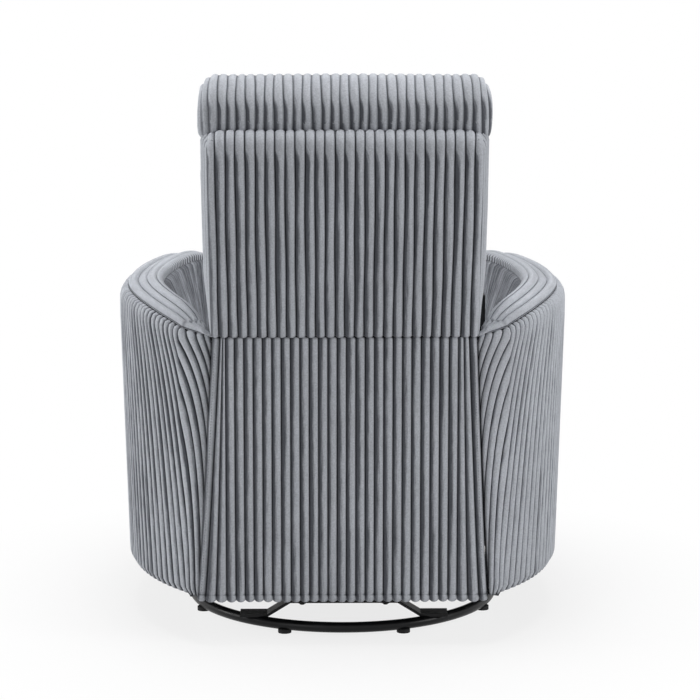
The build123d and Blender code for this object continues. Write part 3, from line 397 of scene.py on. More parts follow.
def thread(context):
    """Sewing thread, darker than the pile's crests."""
    dark = grey(context.scene.recliner_cloth.crest_colour, 0.5)
    return flecked(
        "sewing_thread", (2500.0, 1.0, 0.5), grey(dark, 0.6), dark, Roughness=0.6, Sheen_Weight=0.2
    )


def rubber(context):
    """Black rubber with a grey bloom."""
    return flecked(
        "foot_rubber", (120.0, 3.0, 0.6), (0.01, 0.01, 0.01), (0.03, 0.03, 0.032),
        bump=(0.15, 0.0006), Roughness=0.8, Specular_IOR_Level=0.3,
    )


def moulded_plastic(context):
    """Black plastic with a fine mould grain."""
    return flecked(
        "moulded_plastic", (900.0, 2.0, 0.5), (0.012, 0.012, 0.013), (0.024, 0.024, 0.026),
        bump=(0.25, 0.0005), Roughness=0.45, Specular_IOR_Level=0.5,
    )


def black_paint(context):
    """Stoved black paint with a faint orange peel and patches of dust."""
    looks = context.scene.recliner_frame
    material, tree, principled = shader("black_paint", Specular_IOR_Level=0.2)
    place = object_coordinates(tree)
    wear = noise(tree, 30.0, 4.0, 0.6, place)
    dusty = remap(tree, wear, 0.35, 0.75, 0.0, 1.0)
    colour = mix_colours(tree, dusty, looks.paint_colour, grey(looks.paint_colour, 2.2))
    tree.links.new(colour, principled.inputs["Base Color"])
    tree.links.new(remap(tree, wear, 0.3, 0.7, 0.28, 0.42), principled.inputs["Roughness"])
    add_bump(tree, principled, noise(tree, 260.0, 2.0, 0.5, place), 0.12, 0.0008)
    return material


def zinc(context):
    """Bright zinc plate with a soft spangle."""
    looks = context.scene.recliner_frame
    material, tree, principled = shader("zinc_plate", Metallic=1.0)
    place = object_coordinates(tree)
    cells = add_node(tree, "ShaderNodeTexVoronoi", Scale=160.0)
    tree.links.new(place, cells.inputs["Vector"])
    spangle = cells.outputs["Distance"]
    colour = mix_colours(tree, spangle, grey(looks.zinc_colour, 0.8), looks.zinc_colour)
    tree.links.new(colour, principled.inputs["Base Color"])
    tree.links.new(remap(tree, spangle, 0.0, 1.0, 0.3, 0.48), principled.inputs["Roughness"])
    add_bump(tree, principled, noise(tree, 400.0, 2.0, 0.5, place), 0.08, 0.0004)
    return material


def timber(context):
    """Sawn softwood and ply with grain along the part."""
    looks = context.scene.recliner_frame
    material, tree, principled = shader("sawn_timber", Roughness=0.68, Specular_IOR_Level=0.3)
    stretch = add_node(tree, "ShaderNodeVectorMath", operation="MULTIPLY")
    stretch.inputs[1].default_value = (9.0, 1.2, 9.0)
    tree.links.new(object_coordinates(tree), stretch.inputs[0])
    grain = noise(tree, 9.0, 6.0, 0.65, stretch.outputs[0])
    late = remap(tree, grain, 0.35, 0.65, 0.0, 1.0)  # the darker wood of each ring
    colour = mix_colours(tree, late, looks.wood_colour, grey(looks.wood_colour, 0.55))
    tree.links.new(colour, principled.inputs["Base Color"])
    add_bump(tree, principled, grain, 0.2, 0.001)
    return material


def webbing(context):
    """Woven elastic webbing with ribs across the strap."""
    material, tree, principled = shader("elastic_webbing", Roughness=0.85, Specular_IOR_Level=0.2)
    place = object_coordinates(tree)
    weave = add_node(tree, "ShaderNodeTexWave", Scale=140.0, Distortion=0.6)
    tree.links.new(place, weave.inputs["Vector"])
    colour = mix_colours(tree, weave.outputs["Fac"], (0.03, 0.03, 0.032), (0.1, 0.1, 0.105))
    tree.links.new(colour, principled.inputs["Base Color"])
    add_bump(tree, principled, weave.outputs["Fac"], 0.3, 0.0006)
    return material


# ------------------------------------------------------------ rear panel, boxing and flap
PANEL_WALES = 28
PANEL_TOP_HALF = 0.2315
PANEL_FOOT_HALF = 0.229
PANEL_GROOVE = -0.003  # groove plane, from the frame's own panel
CORNER_WALE = 0.75  # width of the outermost wale, which turns round the panel's corner
PANEL_TOP = 0.3645
PANEL_ROLL = 0.019  # radius of the roll over the panel's top
PANEL_CROWN = 0.0025  # swell of the panel's middle
PANEL_CORNER = 0.0065  # fall of its top line toward the corners
PANEL_SWAY = 0.0006  # wander of its wales
BOXING_WALES = 4
BOXING_DEPTH = 0.056
BOXING_FLARE = 0.0115  # spread of its front edge
BOXING_CLOSING = 0.012  # how far it draws in under the panel's top corner
SEAM_LIFT = 0.004  # the covers meet this far over the frame's own seam
SEAM_TUCK = 0.0045  # depth of the pinched cloth at the seam and down the panel's corners
SEAM_PINCH = 0.006  # distance from the seam over which that pinch ends
SEAM_ROWS = (0.0, 0.0008, 0.002, 0.0035, 0.0055, 0.009, 0.016)  # close rows beside that seam
FLAP_WALES = 29
FLAP_PITCH = 0.01612
FLAP_GROOVES = (-12.2, 12.8)  # evenly spaced grooves between, counted from the middle
FLAP_SKEW = 0.004  # drift of the hem to the left
FLAP_TOP_HALF = 0.229
FLAP_FOOT_HALF = 0.2545
FLAP_STRIP = 0.0145  # turned edge beside the outermost wale
FLAP_REAR = 0.3455  # Y of the flap's groove plane
FLAP_FOOT = 0.0815
FLAP_HEM_ROWS = (0.0145, 0.0125, 0.010, 0.0075, 0.005, 0.0025, 0.0008, 0.0)  # heights over its foot
FLAP_STITCHED = 0.0125  # height of the hem's sewn line over the foot
FLAP_SCALLOP = 0.0055  # rise of the hem between two wales
FLAP_TURN_IN = 0.005  # at the seam and along the hem


def seam_fade(distance):
    """Share of the wales' height that the seam leaves at a distance from it."""
    return np.sqrt(smooth(distance / SEAM_PINCH + 0.15))


def panel_half_width(height):
    """Half width of the panel for a height share, 0 at its seam and 1 at its top."""
    return PANEL_FOOT_HALF + (PANEL_TOP_HALF - PANEL_FOOT_HALF) * np.clip(height * 1.6, 0, 1)


def panel_profile():
    """Side line of the panel's cloth from its seam up the face and over the roll."""
    face = np.linspace(0.03, PANEL_TOP - PANEL_ROLL, 26)
    up = [(PANEL_GROOVE - SEAM_TUCK * (1 - smooth(v / SEAM_PINCH)), v) for v in SEAM_ROWS]
    up += [(PANEL_GROOVE, v) for v in face]
    up = [(y, v + SEAM_LIFT * (1 - v / face[-1])) for y, v in up]
    turn = np.radians(np.linspace(8, 118, 14))
    y, v = PANEL_GROOVE - PANEL_ROLL, PANEL_TOP - PANEL_ROLL
    over = [(y + PANEL_ROLL * math.cos(a), v + PANEL_ROLL * math.sin(a)) for a in turn]
    return np.array(up + over)


def rear_panel(context):
    """Wales that run up the back's face and over its top."""
    profile = panel_profile()
    steps = path_steps(profile)
    half_count = PANEL_WALES / 2
    columns = wale_columns(-half_count, half_count)
    flat = half_count - 1
    held = np.clip(columns, -flat, flat)
    share = (held + CORNER_WALE * (columns - held)) / (flat + CORNER_WALE)
    turned = np.clip(np.abs(columns) - flat, 0, 1)
    height = profile[:, 1:] / PANEL_TOP
    crown = PANEL_CROWN * (1 - share**2) * np.sin(np.pi * np.clip(height, 0, 1))
    corner = PANEL_CORNER * smooth((np.abs(share) - 0.84) / 0.16) ** 2
    sway = PANEL_SWAY * np.sin(columns * 2.4 + 9.0 * height + 1.3 * np.sin(columns))
    base = np.zeros((len(profile), len(columns), 3))
    base[..., 0] = panel_half_width(height) * share
    base[..., 0] += sway * smooth(height * 6)
    base[..., 1] = profile[:, :1] + crown - SEAM_TUCK * turned**2
    base[..., 2] = profile[:, 1:] - corner * smooth((height - 0.85) / 0.15)
    return ribbed_sheet(
        "rear_panel_cover", leaned(base), columns + half_count, steps[:, None], corduroy(context),
        outward=-1, back=0.004, depth=context.scene.recliner_cloth.wale_depth,
        # painted light: the painted flank shade is lifted over the top roll, which faces up to the
        # light
        fade=seam_fade(steps)[:, None], flank_shade_lift=0.7 * smooth((height - 0.88) / 0.11),
    )


def side_boxing(context, side):
    """Strip of narrow wales from the panel's side seam forward to the cushions."""
    columns = wale_columns(0, BOXING_WALES)
    share = columns / BOXING_WALES
    foot, top = (0.006, 0.010, 0.016), PANEL_TOP - np.array([0.022, 0.015, 0.010, 0.0065])
    rows = np.concatenate([foot, np.linspace(0.028, PANEL_TOP - 0.030, 24), top])[:, None]
    height = rows / PANEL_TOP
    rear = panel_half_width(height) - 0.0005
    flare = BOXING_FLARE * share + 0.002 * np.sin(np.pi * share)
    closing = BOXING_CLOSING * smooth((height - 0.93) / 0.07) ** 2
    near_seam = 0.35 + 0.65 * smooth(rows / 0.12)
    base = np.zeros((len(rows), len(columns), 3))
    base[..., 0] = side * (rear + flare * near_seam - closing)
    base[..., 1] = -0.005 - BOXING_DEPTH * share
    base[..., 2] = rows
    return ribbed_sheet(
        side_name("side_boxing", side), leaned(base), columns, rows, corduroy(context),
        outward=-side, back=0.003, depth=0.55 * context.scene.recliner_cloth.wale_depth,
    )


def flap_height(z):
    """Height share on the flap, 0 at the hem and 1 at the seam."""
    return np.clip((z - FLAP_FOOT) / (BACK_SEAM[1] - FLAP_FOOT), 0, 1)


def flap_half_width(height):
    """Half width of the flap for such a height share."""
    return FLAP_FOOT_HALF + (FLAP_TOP_HALF - FLAP_FOOT_HALF) * height**0.85


def flap_columns(z, columns):
    """X of the flap's columns: even wales in the middle, the outer two squeezed by its edges."""
    height = flap_height(z)
    skew = FLAP_SKEW * (1 - height)
    first, last = (FLAP_GROOVES[0] * FLAP_PITCH, FLAP_GROOVES[1] * FLAP_PITCH)
    low = skew - flap_half_width(height) + FLAP_STRIP
    high = skew + flap_half_width(height) - FLAP_STRIP
    x = np.zeros((len(z), len(columns)))
    for i in range(len(z)):
        knots = (-FLAP_STRIP + low[i], low[i], first, last, high[i], high[i] + FLAP_STRIP)
        x[i] = np.interp(columns, (-1, 0, 2, FLAP_WALES - 2, FLAP_WALES, FLAP_WALES + 1), knots)
    return x


def rear_flap(context):
    """Wales that hang from the back's seam to a scalloped hem."""
    strip = np.array([0.06, 0.16, 0.3, 0.5, 0.7, 0.84, 0.94, 1.0])
    columns = np.concatenate([-strip[::-1], wale_columns(0, FLAP_WALES), FLAP_WALES + strip])
    top = BACK_SEAM[1] + SEAM_LIFT - 0.0005
    even = np.linspace(0.03, top - FLAP_FOOT - 0.02, 30)
    hem = top - FLAP_FOOT - np.array(FLAP_HEM_ROWS)
    drop = np.concatenate([[-0.004], SEAM_ROWS, even, hem])
    z = top - drop
    x = flap_columns(z, columns)
    drop, z = drop[:, None], z[:, None]
    height = (z - FLAP_FOOT) / (top - FLAP_FOOT)
    outside = np.clip(np.abs(columns - FLAP_WALES / 2) - FLAP_WALES / 2, 0, 1)
    scallop = FLAP_SCALLOP * (1 - wale_rise(columns)) * smooth(1 - height / 0.05) ** 2
    tuck = FLAP_TURN_IN * (1 - smooth(drop / SEAM_PINCH)) + 0.009 * smooth(-drop / 0.004)
    ease = 0.0014 * np.sin(columns * 0.9 + 2.0) * (1 - height) ** 2  # slack folds toward the hem
    turn_in = FLAP_TURN_IN * smooth((drop - drop[-1] + 0.008) / 0.008)
    sewn = np.exp(-(((z - FLAP_FOOT - FLAP_STITCHED) / 0.0022) ** 2))
    base = np.zeros((*x.shape, 3))
    base[..., 0] = x
    base[..., 1] = FLAP_REAR - tuck + ease - turn_in
    base[..., 1] -= 0.004 * smooth(outside)
    base[..., 2] = z + scallop
    return ribbed_sheet(
        "rear_flap_cover", base, columns, drop, corduroy(context),
        outward=1, back=0.006, depth=context.scene.recliner_cloth.wale_depth * 0.95,
        fade=seam_fade(drop) * np.where(outside > 0, 0.75, 1.0) * (1 - 0.35 * sewn),
    )


# ------------------------------------------------------------ barrel arms
ARM_NOSE = -0.394  # where the arm's front begins to round
ARM_FLANK_LIFT = {1: 0.1, -1: 0.35}  # painted light: share by which the painted flank shade is lifted on the left and right arm
ARM_PITCH = 0.0138  # width of a wale, finer than on the panel
ARM_CREST = 0.600
ARM_REAR_DROP = 0.038  # fall of the top toward the rear and toward the nose
ARM_FRONT_DROP = 0.026
ARM_EDGE = (0.022, 0.026)  # half axes of the rounded outer top edge
ARM_CLOSE_ROWS = (0, 0.0012, 0.003, 0.006, 0.010, 0.016, 0.023)  # distances below the seam
ARM_EVEN_ROWS = np.linspace(0.062, 1.0, 39)  # shares of the way from the seam to the hem
ARM_HEM_ROWS = (0.004, 0.009, 0.015)  # distances by which the hem turns in below the arm
ARM_HEM = 0.014  # height over the foot at which the cloth begins to draw in
ARM_TUCK = 0.0065  # depth of the pinched cloth under the band
ARM_LEAN = (0.09, 0.058, 0.13)  # even lean of the wales, and the quick one with its reach
NOSE_ROUND = (0.9, 0.86)  # how far the nose and the band's tip stand out, against half a circle
BACK_ROOM = 0.006  # by which the inner face stays clear of the back as it reclines
SEAM_TURN = math.radians(60)  # place of the band's outer seam on the rounded edge
SEAM_RUN = 0.5 * (ARM_EDGE[0] + ARM_EDGE[1]) * SEAM_TURN  # from that seam down to the upright face
BAND_GROOVES = (0.011, 0.030, 0.046, 0.062, 0.076)  # from the outer face inward
BAND_ROWS = (0.0, 0.002, 0.005, 0.009, 0.014, 0.020)  # close rows at the band's rear end
BAND_END = 0.2385  # X where the arm's rear end meets the back
BAND_LEAST = 0.004  # width that the band keeps at its ends, which it nears as softly
BAND_TILT = 0.009  # rise of the band toward the seat
BAND_PUCKER = 0.0038  # depth of the gathers along its inner edge
REAR_START = 0.318  # Y where the outer face turns in behind the flap
REAR_RUN = 0.056
REAR_TURN = 0.3455  # Y of the corner that the turn rounds off
REAR_TIP = 0.333  # Y where the turn ends
FLAP_MET = 0.252  # widest half of the flap that the arm's rear end still follows


def arm_outer(y):
    """X of the outer face's plan at the arm's top."""
    axis = np.where(y < 0, ARM_FRONT_AXIS, ARM_REAR_AXIS)
    return ARM_HALF_WIDTH * np.sqrt(1 - (y / axis) ** 2)


def arm_inner(y):
    """X of the inner face's plan, below the knee."""
    rear = np.clip((y - 0.120) / (ARM_REAR - 0.120), 0, 1) ** 2
    front = np.clip((-y - 0.250) / (-ARM_FRONT - 0.250), 0, 1)
    return ARM_INNER - (ARM_INNER - ARM_REAR_INNER) * rear - (ARM_INNER - ARM_FRONT_INNER) * front


def arm_crest(y):
    """Height of the arm's top over its outer edge."""
    rear = ARM_CREST - ARM_REAR_DROP * np.clip(y / ARM_REAR, 0, 1.1) ** 2.8
    front = ARM_CREST - ARM_FRONT_DROP * (np.clip(-y - 0.280, 0, None) / (-ARM_FRONT - 0.280)) ** 2
    return np.where(y > 0, rear, front)


def outer_run():
    """Y for a distance forward along the outer ellipse from where it turns in."""
    y = np.linspace(REAR_START, ARM_NOSE, 800)
    return path_steps(np.column_stack([arm_outer(y), y])) + REAR_RUN, y


OUTER_STEPS, OUTER_Y = outer_run()
OUTER_LENGTH = OUTER_STEPS[-1]
NOSE_HALF = (arm_outer(ARM_NOSE) - arm_inner(ARM_NOSE)) / 2
NOSE_LENGTH = math.pi * NOSE_HALF


def outer_plan(s, z):
    """X and Y of the outer face at a distance from its rear end and a height."""
    y = np.interp(s, OUTER_STEPS, OUTER_Y)
    up = np.clip((z - ARM_BOTTOM) / ARM_NARROWING, 0, 1)
    narrowing = ARM_FOOT_SHARE + (1 - ARM_FOOT_SHARE) * up
    x = arm_outer(y) * narrowing
    flap = np.minimum(flap_half_width(flap_height(z)), FLAP_MET)
    t = np.clip(1 - s / REAR_RUN, 0, 1)
    start, turn, end = (1 - t) ** 2, 2 * t * (1 - t), t**2
    rear_x = start * arm_outer(REAR_START) * narrowing
    rear_x = rear_x + turn * (flap + 0.014) + end * (flap - 0.002)
    rear_y = start * REAR_START + turn * REAR_TURN + end * REAR_TIP
    return np.where(t > 0, rear_x, x), np.where(t > 0, rear_y, y)


def outer_normal(s, z):
    """X and Y of the direction that points out of that face."""
    ahead, behind = outer_plan(s + 0.002, z), outer_plan(np.maximum(s - 0.002, 0), z)
    run_x, run_y = ahead[0] - behind[0], ahead[1] - behind[1]
    length = np.hypot(run_x, run_y)
    return -run_y / length, run_x / length


def band_edge(s):
    """Width of the band at a distance along the arm, and the plan line it is measured from."""
    x, y = outer_plan(s, np.full_like(s, ARM_CREST))
    across_x, across_y = outer_normal(s, np.full_like(s, ARM_CREST))
    inner = np.maximum(arm_inner(np.clip(y, ARM_FRONT, ARM_REAR)), BAND_END)
    room = (x - inner) / np.maximum(across_x, 0.3)
    full = BAND_GROOVES[-1]
    short = np.logaddexp(0, (full - room) / BAND_LEAST) * BAND_LEAST
    width = np.clip(full - short, BAND_LEAST, None)
    return x, y, across_x, across_y, width


def band_point(s, u_share):
    """Point of the band's groove surface for shares of its width."""
    x, y, across_x, across_y, width = band_edge(s)
    u_share = u_share * (1 - 0.5 * (1 - smooth(s / 0.08)) * (1 - u_share))
    u = u_share * width
    tilt = BAND_TILT * smooth((u - 0.028) / 0.036) * (1 - smooth((y - 0.24) / 0.07))
    fall = 0.010 * smooth((u_share - 0.80) / 0.20) + 0.0045 * (1 - smooth(u_share / 0.22))
    end = 0.010 * (1 - smooth(s / 0.045)) ** 2
    z = arm_crest(y) + tilt - fall - end
    return np.stack([x - across_x * u, y - across_y * u, z], axis=-1)


def inner_line():
    """The band's inner edge as X and Z over Y, which the inner face hangs from."""
    s = np.linspace(0.0, OUTER_LENGTH, 400)
    edge = band_point(s, np.full_like(s, 1.0))
    return edge[np.argsort(edge[:, 1])]


def inner_face(y, z, edge):
    """X of the inner face, which leans out from the seat to the band."""
    top_x, top_z = np.interp(y, edge[:, 1], edge[:, 0]), np.interp(y, edge[:, 1], edge[:, 2])
    share = np.clip((z - ARM_KNEE) / (top_z - ARM_KNEE), 0, 1)
    return arm_inner(y) + (top_x - arm_inner(y)) * share * (0.75 + 0.25 * share)


def wale_fall(columns, step, close):
    """Place along the arm, height, turn over the rounded edge and run of each wale at one row.

    The wales lean to the rear as they go down, most beside the rear edge, so the place is found
    in a few rounds.
    """
    near_rear = 1 - smooth((columns - 0.05) / 0.34)
    s = columns
    for _ in range(5):
        y = outer_plan(np.clip(s, 0, OUTER_LENGTH), np.full_like(s, ARM_CREST))[1]
        crest = arm_crest(y)
        fall = crest - ARM_EDGE[1] - ARM_BOTTOM
        distance = step if close else step * (fall + SEAM_RUN)
        turn = SEAM_TURN * (1 - np.clip(distance / SEAM_RUN, 0, 1))
        z = crest - ARM_EDGE[1] + ARM_EDGE[1] * np.sin(turn) - np.clip(distance - SEAM_RUN, 0, None)
        z = np.maximum(z, ARM_BOTTOM)
        below = np.maximum(crest - z, 0)
        lean = ARM_LEAN[0] * below + ARM_LEAN[1] * (1 - np.exp(-below / ARM_LEAN[2]))
        s = columns - lean * near_rear
    return s, z, turn, distance


def nose_points(z, inset, share, edge):
    """The run round the arm's front, for shares of the way from its outer to its inner face."""
    left = outer_plan(np.full_like(z, OUTER_LENGTH), z)[0]
    right = inner_face(np.full_like(z, ARM_NOSE), z, edge)
    shrink = 1 - inset / NOSE_HALF * (1 - share)
    x = (left + right) / 2 + (left - right) / 2 * np.cos(share * math.pi) * shrink
    y = ARM_NOSE - NOSE_HALF * NOSE_ROUND[0] * np.sin(share * math.pi) * shrink
    return np.stack([x, y, np.minimum(z, arm_crest(ARM_NOSE))], axis=-1)


def arm_panel(context, side):
    """Outer face, front nose and inner face as one run of upright wales."""
    edge = inner_line()
    inner_start, inner_length = OUTER_LENGTH + NOSE_LENGTH, ARM_REAR - 0.003 - ARM_NOSE
    wales = round((inner_start + inner_length) / ARM_PITCH)
    columns = wale_columns(0.0, wales) * ARM_PITCH
    on_outer = columns <= OUTER_LENGTH
    on_nose = (columns > OUTER_LENGTH) & (columns <= inner_start)
    nose_share = np.clip((columns - OUTER_LENGTH) / NOSE_LENGTH, 0, 1)
    y_inner = ARM_NOSE + np.clip(columns - OUTER_LENGTH - NOSE_LENGTH, 0, inner_length)
    inner_top = np.interp(y_inner, edge[:, 1], edge[:, 2]) - 0.001
    clear = BACK_ROOM * smooth((y_inner - 0.02) / 0.1)
    rows = len(ARM_CLOSE_ROWS) + len(ARM_EVEN_ROWS)
    base = np.zeros((rows + len(ARM_HEM_ROWS), len(columns), 3))
    along = np.zeros(base.shape[:2])
    open_edge = np.ones(base.shape[:2])
    for i, step in enumerate((*ARM_CLOSE_ROWS, *ARM_EVEN_ROWS)):
        close = i < len(ARM_CLOSE_ROWS)
        s, z, turn, distance = wale_fall(columns, step, close)
        held = np.clip(s, 0, OUTER_LENGTH)
        inset = ARM_EDGE[0] * (1 - np.cos(turn))
        x, y = outer_plan(held, z)
        across_x, across_y = outer_normal(held, z)
        outer = np.stack([x - inset * across_x, y - inset * across_y, z], axis=-1)
        nose = nose_points(z, inset, nose_share, edge)
        z_inner = inner_top + (ARM_BOTTOM - inner_top) * (2 * step if close else step)
        inner = np.stack([inner_face(y_inner, z_inner, edge) + clear, y_inner, z_inner], axis=-1)
        base[i] = np.where(on_outer[:, None], outer, np.where(on_nose[:, None], nose, inner))
        along[i] = np.where(on_outer | on_nose, distance, inner_top - z_inner)
        open_edge[i] = smooth(np.where(on_outer, s, 1.0) / 0.010)
    tuck = ARM_TUCK * (1 - smooth(along / 0.012))
    hem = smooth((ARM_BOTTOM + ARM_HEM - base[..., 2]) / ARM_HEM)
    normals = grid_normals(base[:rows], 1.0)
    sign = np.sign(normals[rows // 2, len(columns) // 4, 0])
    normals *= sign
    base[:rows] -= normals * (tuck[:rows] + 0.004 * hem[:rows] + 0.002)[..., None]
    for k, amount in enumerate(ARM_HEM_ROWS):
        base[rows + k] = base[rows - 1] - normals[rows - 2] * amount
        base[rows + k, :, 2] = ARM_BOTTOM - 0.0004 * (k + 1)
        along[rows + k] = along[rows - 1] + amount
    phase = columns / ARM_PITCH
    fade = np.sqrt(smooth(along / 0.010 + 0.1)) * open_edge * (1 - 0.5 * hem)
    rise = wale_rise(phase) * fade
    depth = context.scene.recliner_cloth.wale_depth
    points = base + grid_normals(base, sign) * (depth * rise)[..., None]
    # painted light: the painted flank shade is lifted by a share on each arm, and more on the wale
    # heads under the seam, where the cloth turns up to the light
    lying = ARM_FLANK_LIFT[side] + 0.25 * (1 - smooth(along / 0.05))
    cloth = soft_cloth(phase, along, rise, lying, 0.15)
    inside = columns > inner_start
    shown = 0.45 - 0.37 * smooth((y_inner + 0.1) / 0.25)  # less light reaches it beside the back
    cloth[:, inside, 0] = (np.floor(phase) + shown * (phase - np.floor(phase)))[inside]
    points[..., 0] *= side
    faces = grid_quads(*points.shape[:2], wrap=True, flip=(sign > 0) == (side > 0))
    return make_piece(side_name("arm_panel", side), points, faces, cloth, corduroy(context))


def arm_band(context, side):
    """Padded top band with lengthwise wales that meet at its nose and at the back."""
    grooves = np.array(BAND_GROOVES) / BAND_GROOVES[-1]
    counts = wale_columns(0, len(grooves) - 1)
    share = np.interp(counts, np.arange(len(grooves)), grooves)
    run = np.concatenate([BAND_ROWS, np.linspace(0.028, OUTER_LENGTH, 300)])
    tip = np.radians(np.linspace(8, 90, 12))
    front = slice(len(run), None)
    s = np.concatenate([run, np.full(len(tip), OUTER_LENGTH)])[:, None]
    grid_s, grid_share = np.broadcast_arrays(s, share)
    base = band_point(grid_s.ravel(), grid_share.ravel()).reshape(*grid_s.shape, 3)
    middle = base[front].mean(axis=1, keepdims=True)
    closing = np.maximum(np.cos(tip), 1e-3)[:, None, None]
    base[front] = middle + (base[front] - middle) * closing
    base[front, :, 1] -= NOSE_HALF * NOSE_ROUND[1] * np.sin(tip)[:, None]
    base[front, :, 2] -= 0.012 * (1 - np.cos(tip))[:, None]
    normals = grid_normals(base, 1.0)
    sign = np.sign(normals[len(run) // 2, len(counts) // 2, 2])
    normals *= sign
    seam = smooth(np.minimum(share - share[0], 1 - share) / 0.05)
    base = base - normals * (0.004 * (1 - seam))[None, :, None]
    depth = np.where(counts < 1, 0.95, 0.85) * context.scene.recliner_cloth.wale_depth
    squeeze = smooth(s / 0.02) * 0.4 + 0.6
    gathers = 0.5 + 0.5 * np.sin(s * 500.0 + 1.5 * np.sin(s * 61.0))
    inner_edge = smooth((counts - 3.0) / 0.7)
    # painted shade in the gathers along the band's inner edge; it darkens the colour only
    painted_gather_shade = inner_edge * (1 - gathers)
    pucker = -BAND_PUCKER * (1 - gathers) * inner_edge * smooth((0.35 - s) / 0.1)
    tip_fade = np.concatenate([np.ones(len(run)), np.cos(tip) * 0.8 + 0.2])[:, None]
    rise = wale_rise(counts) * squeeze * tip_fade
    points = base + normals * (depth * rise + pucker)[..., None]
    # the band faces up: painted light lifts its flank and groove shade, less in the painted gather
    # shade
    cloth = soft_cloth(-counts, s, rise * (1 - painted_gather_shade), 0.0, 0.65 * (1 - 0.7 * painted_gather_shade))
    points[..., 0] *= side
    faces = grid_quads(*points.shape[:2], flip=(sign > 0) == (side > 0))
    return make_piece(side_name("arm_band", side), points, faces, cloth, corduroy(context))


def arm_underside(context, side):
    """Black cloth that closes the arm from below."""
    y = np.linspace(ARM_NOSE - 0.008, REAR_START, 60)[:, None]
    share = np.linspace(0, 1, 6)
    inner = arm_inner(y) + 0.010
    outer = arm_outer(y) * ARM_FOOT_SHARE - 0.010
    base = np.zeros((len(y), len(share), 3))
    base[..., 0] = side * (inner + (outer - inner) * share)
    base[..., 1] = y
    base[..., 2] = ARM_BOTTOM + 0.0015
    name = side_name("arm_underside", side)
    return ribbed_sheet(name, base, 0.0, 0.0, lining(context), outward=-side, back=0.001)


# ------------------------------------------------------------ cushions
CUSHION_RINGS = 61  # from one end of a cushion to the other
RING_POINTS = 48
FINE_POINTS = 120  # points round the finished cloth
INFLATE_FRAMES = 20
LUMBAR_DRAWN = 0.72  # Z under which the lumbar cushion narrows
LUMBAR_TAPER = 0.05
APRON_HALF_WIDTH = 0.185  # between the footrest's scissors


def rounded_loop(depth, height, radius):
    """Loop round a cushion's section: flat side at 0, front at -depth, from the flat side up."""
    radius = min(radius, 0.499 * depth, 0.499 * height)
    corners = []
    for a, b, start in (
        (-radius, height / 2 - radius, 0),
        (radius - depth, height / 2 - radius, 90),
        (radius - depth, radius - height / 2, 180),
        (-radius, radius - height / 2, 270),
    ):
        for turn in np.radians(np.linspace(start, start + 90, 12)):
            corners.append((a + radius * math.cos(turn), b + radius * math.sin(turn)))
    line = [(0.0, 0.0)] + corners + [(0.0, 0.0)]
    return resample(line, RING_POINTS + 1)[:-1]


def cushion_rings(size, corner, end_radius, crown):
    """Rings of a cushion from one end to the other, with their distances along the cloth."""
    half_width, depth, height = size
    straight = half_width - end_radius
    bend = end_radius * math.pi / 2
    reach = straight + bend + (depth / 2 - end_radius) - 0.0005
    distances = np.linspace(-reach, reach, CUSHION_RINGS)
    rings = []
    for distance in distances:
        run = abs(distance)
        if run <= straight:
            x, inset = run, 0.0
        elif run <= straight + bend:
            turn = (run - straight) / end_radius
            x, inset = straight + end_radius * math.sin(turn), end_radius * (1 - math.cos(turn))
        else:
            x, inset = half_width, end_radius + run - straight - bend
        share = min(1.0, run / straight)
        swell = crown * (1 - share**2)
        loop = rounded_loop(depth - 2 * inset, height - 2 * inset, max(corner - inset, 0.002))
        loop[:, 0] -= inset
        front = np.clip(-loop[:, 0] / depth, 0, 1)
        loop[:, 0] -= swell * front * np.cos(np.pi * loop[:, 1] / height)
        loop[:, 1] *= 1 + 0.5 * swell / height * np.sin(np.pi * front)
        rings.append(np.column_stack([np.full(RING_POINTS, math.copysign(x, distance)), loop]))
    return np.array(rings), distances


def catmull(places, count, wrap):
    """Weights that read a smooth curve through evenly spaced samples at fractional places."""
    weights = np.zeros((len(places), count))
    for row, place in enumerate(places):
        base = int(math.floor(place))
        t = place - base
        parts = (
            (-t + 2 * t * t - t**3) / 2,
            (2 - 5 * t * t + 3 * t**3) / 2,
            (t + 4 * t * t - 3 * t**3) / 2,
            (-t * t + t**3) / 2,
        )
        for offset, part in zip((-1, 0, 1, 2), parts):
            index = base + offset
            index = index % count if wrap else min(max(index, 0), count - 1)
            weights[row, index] += part
    return weights


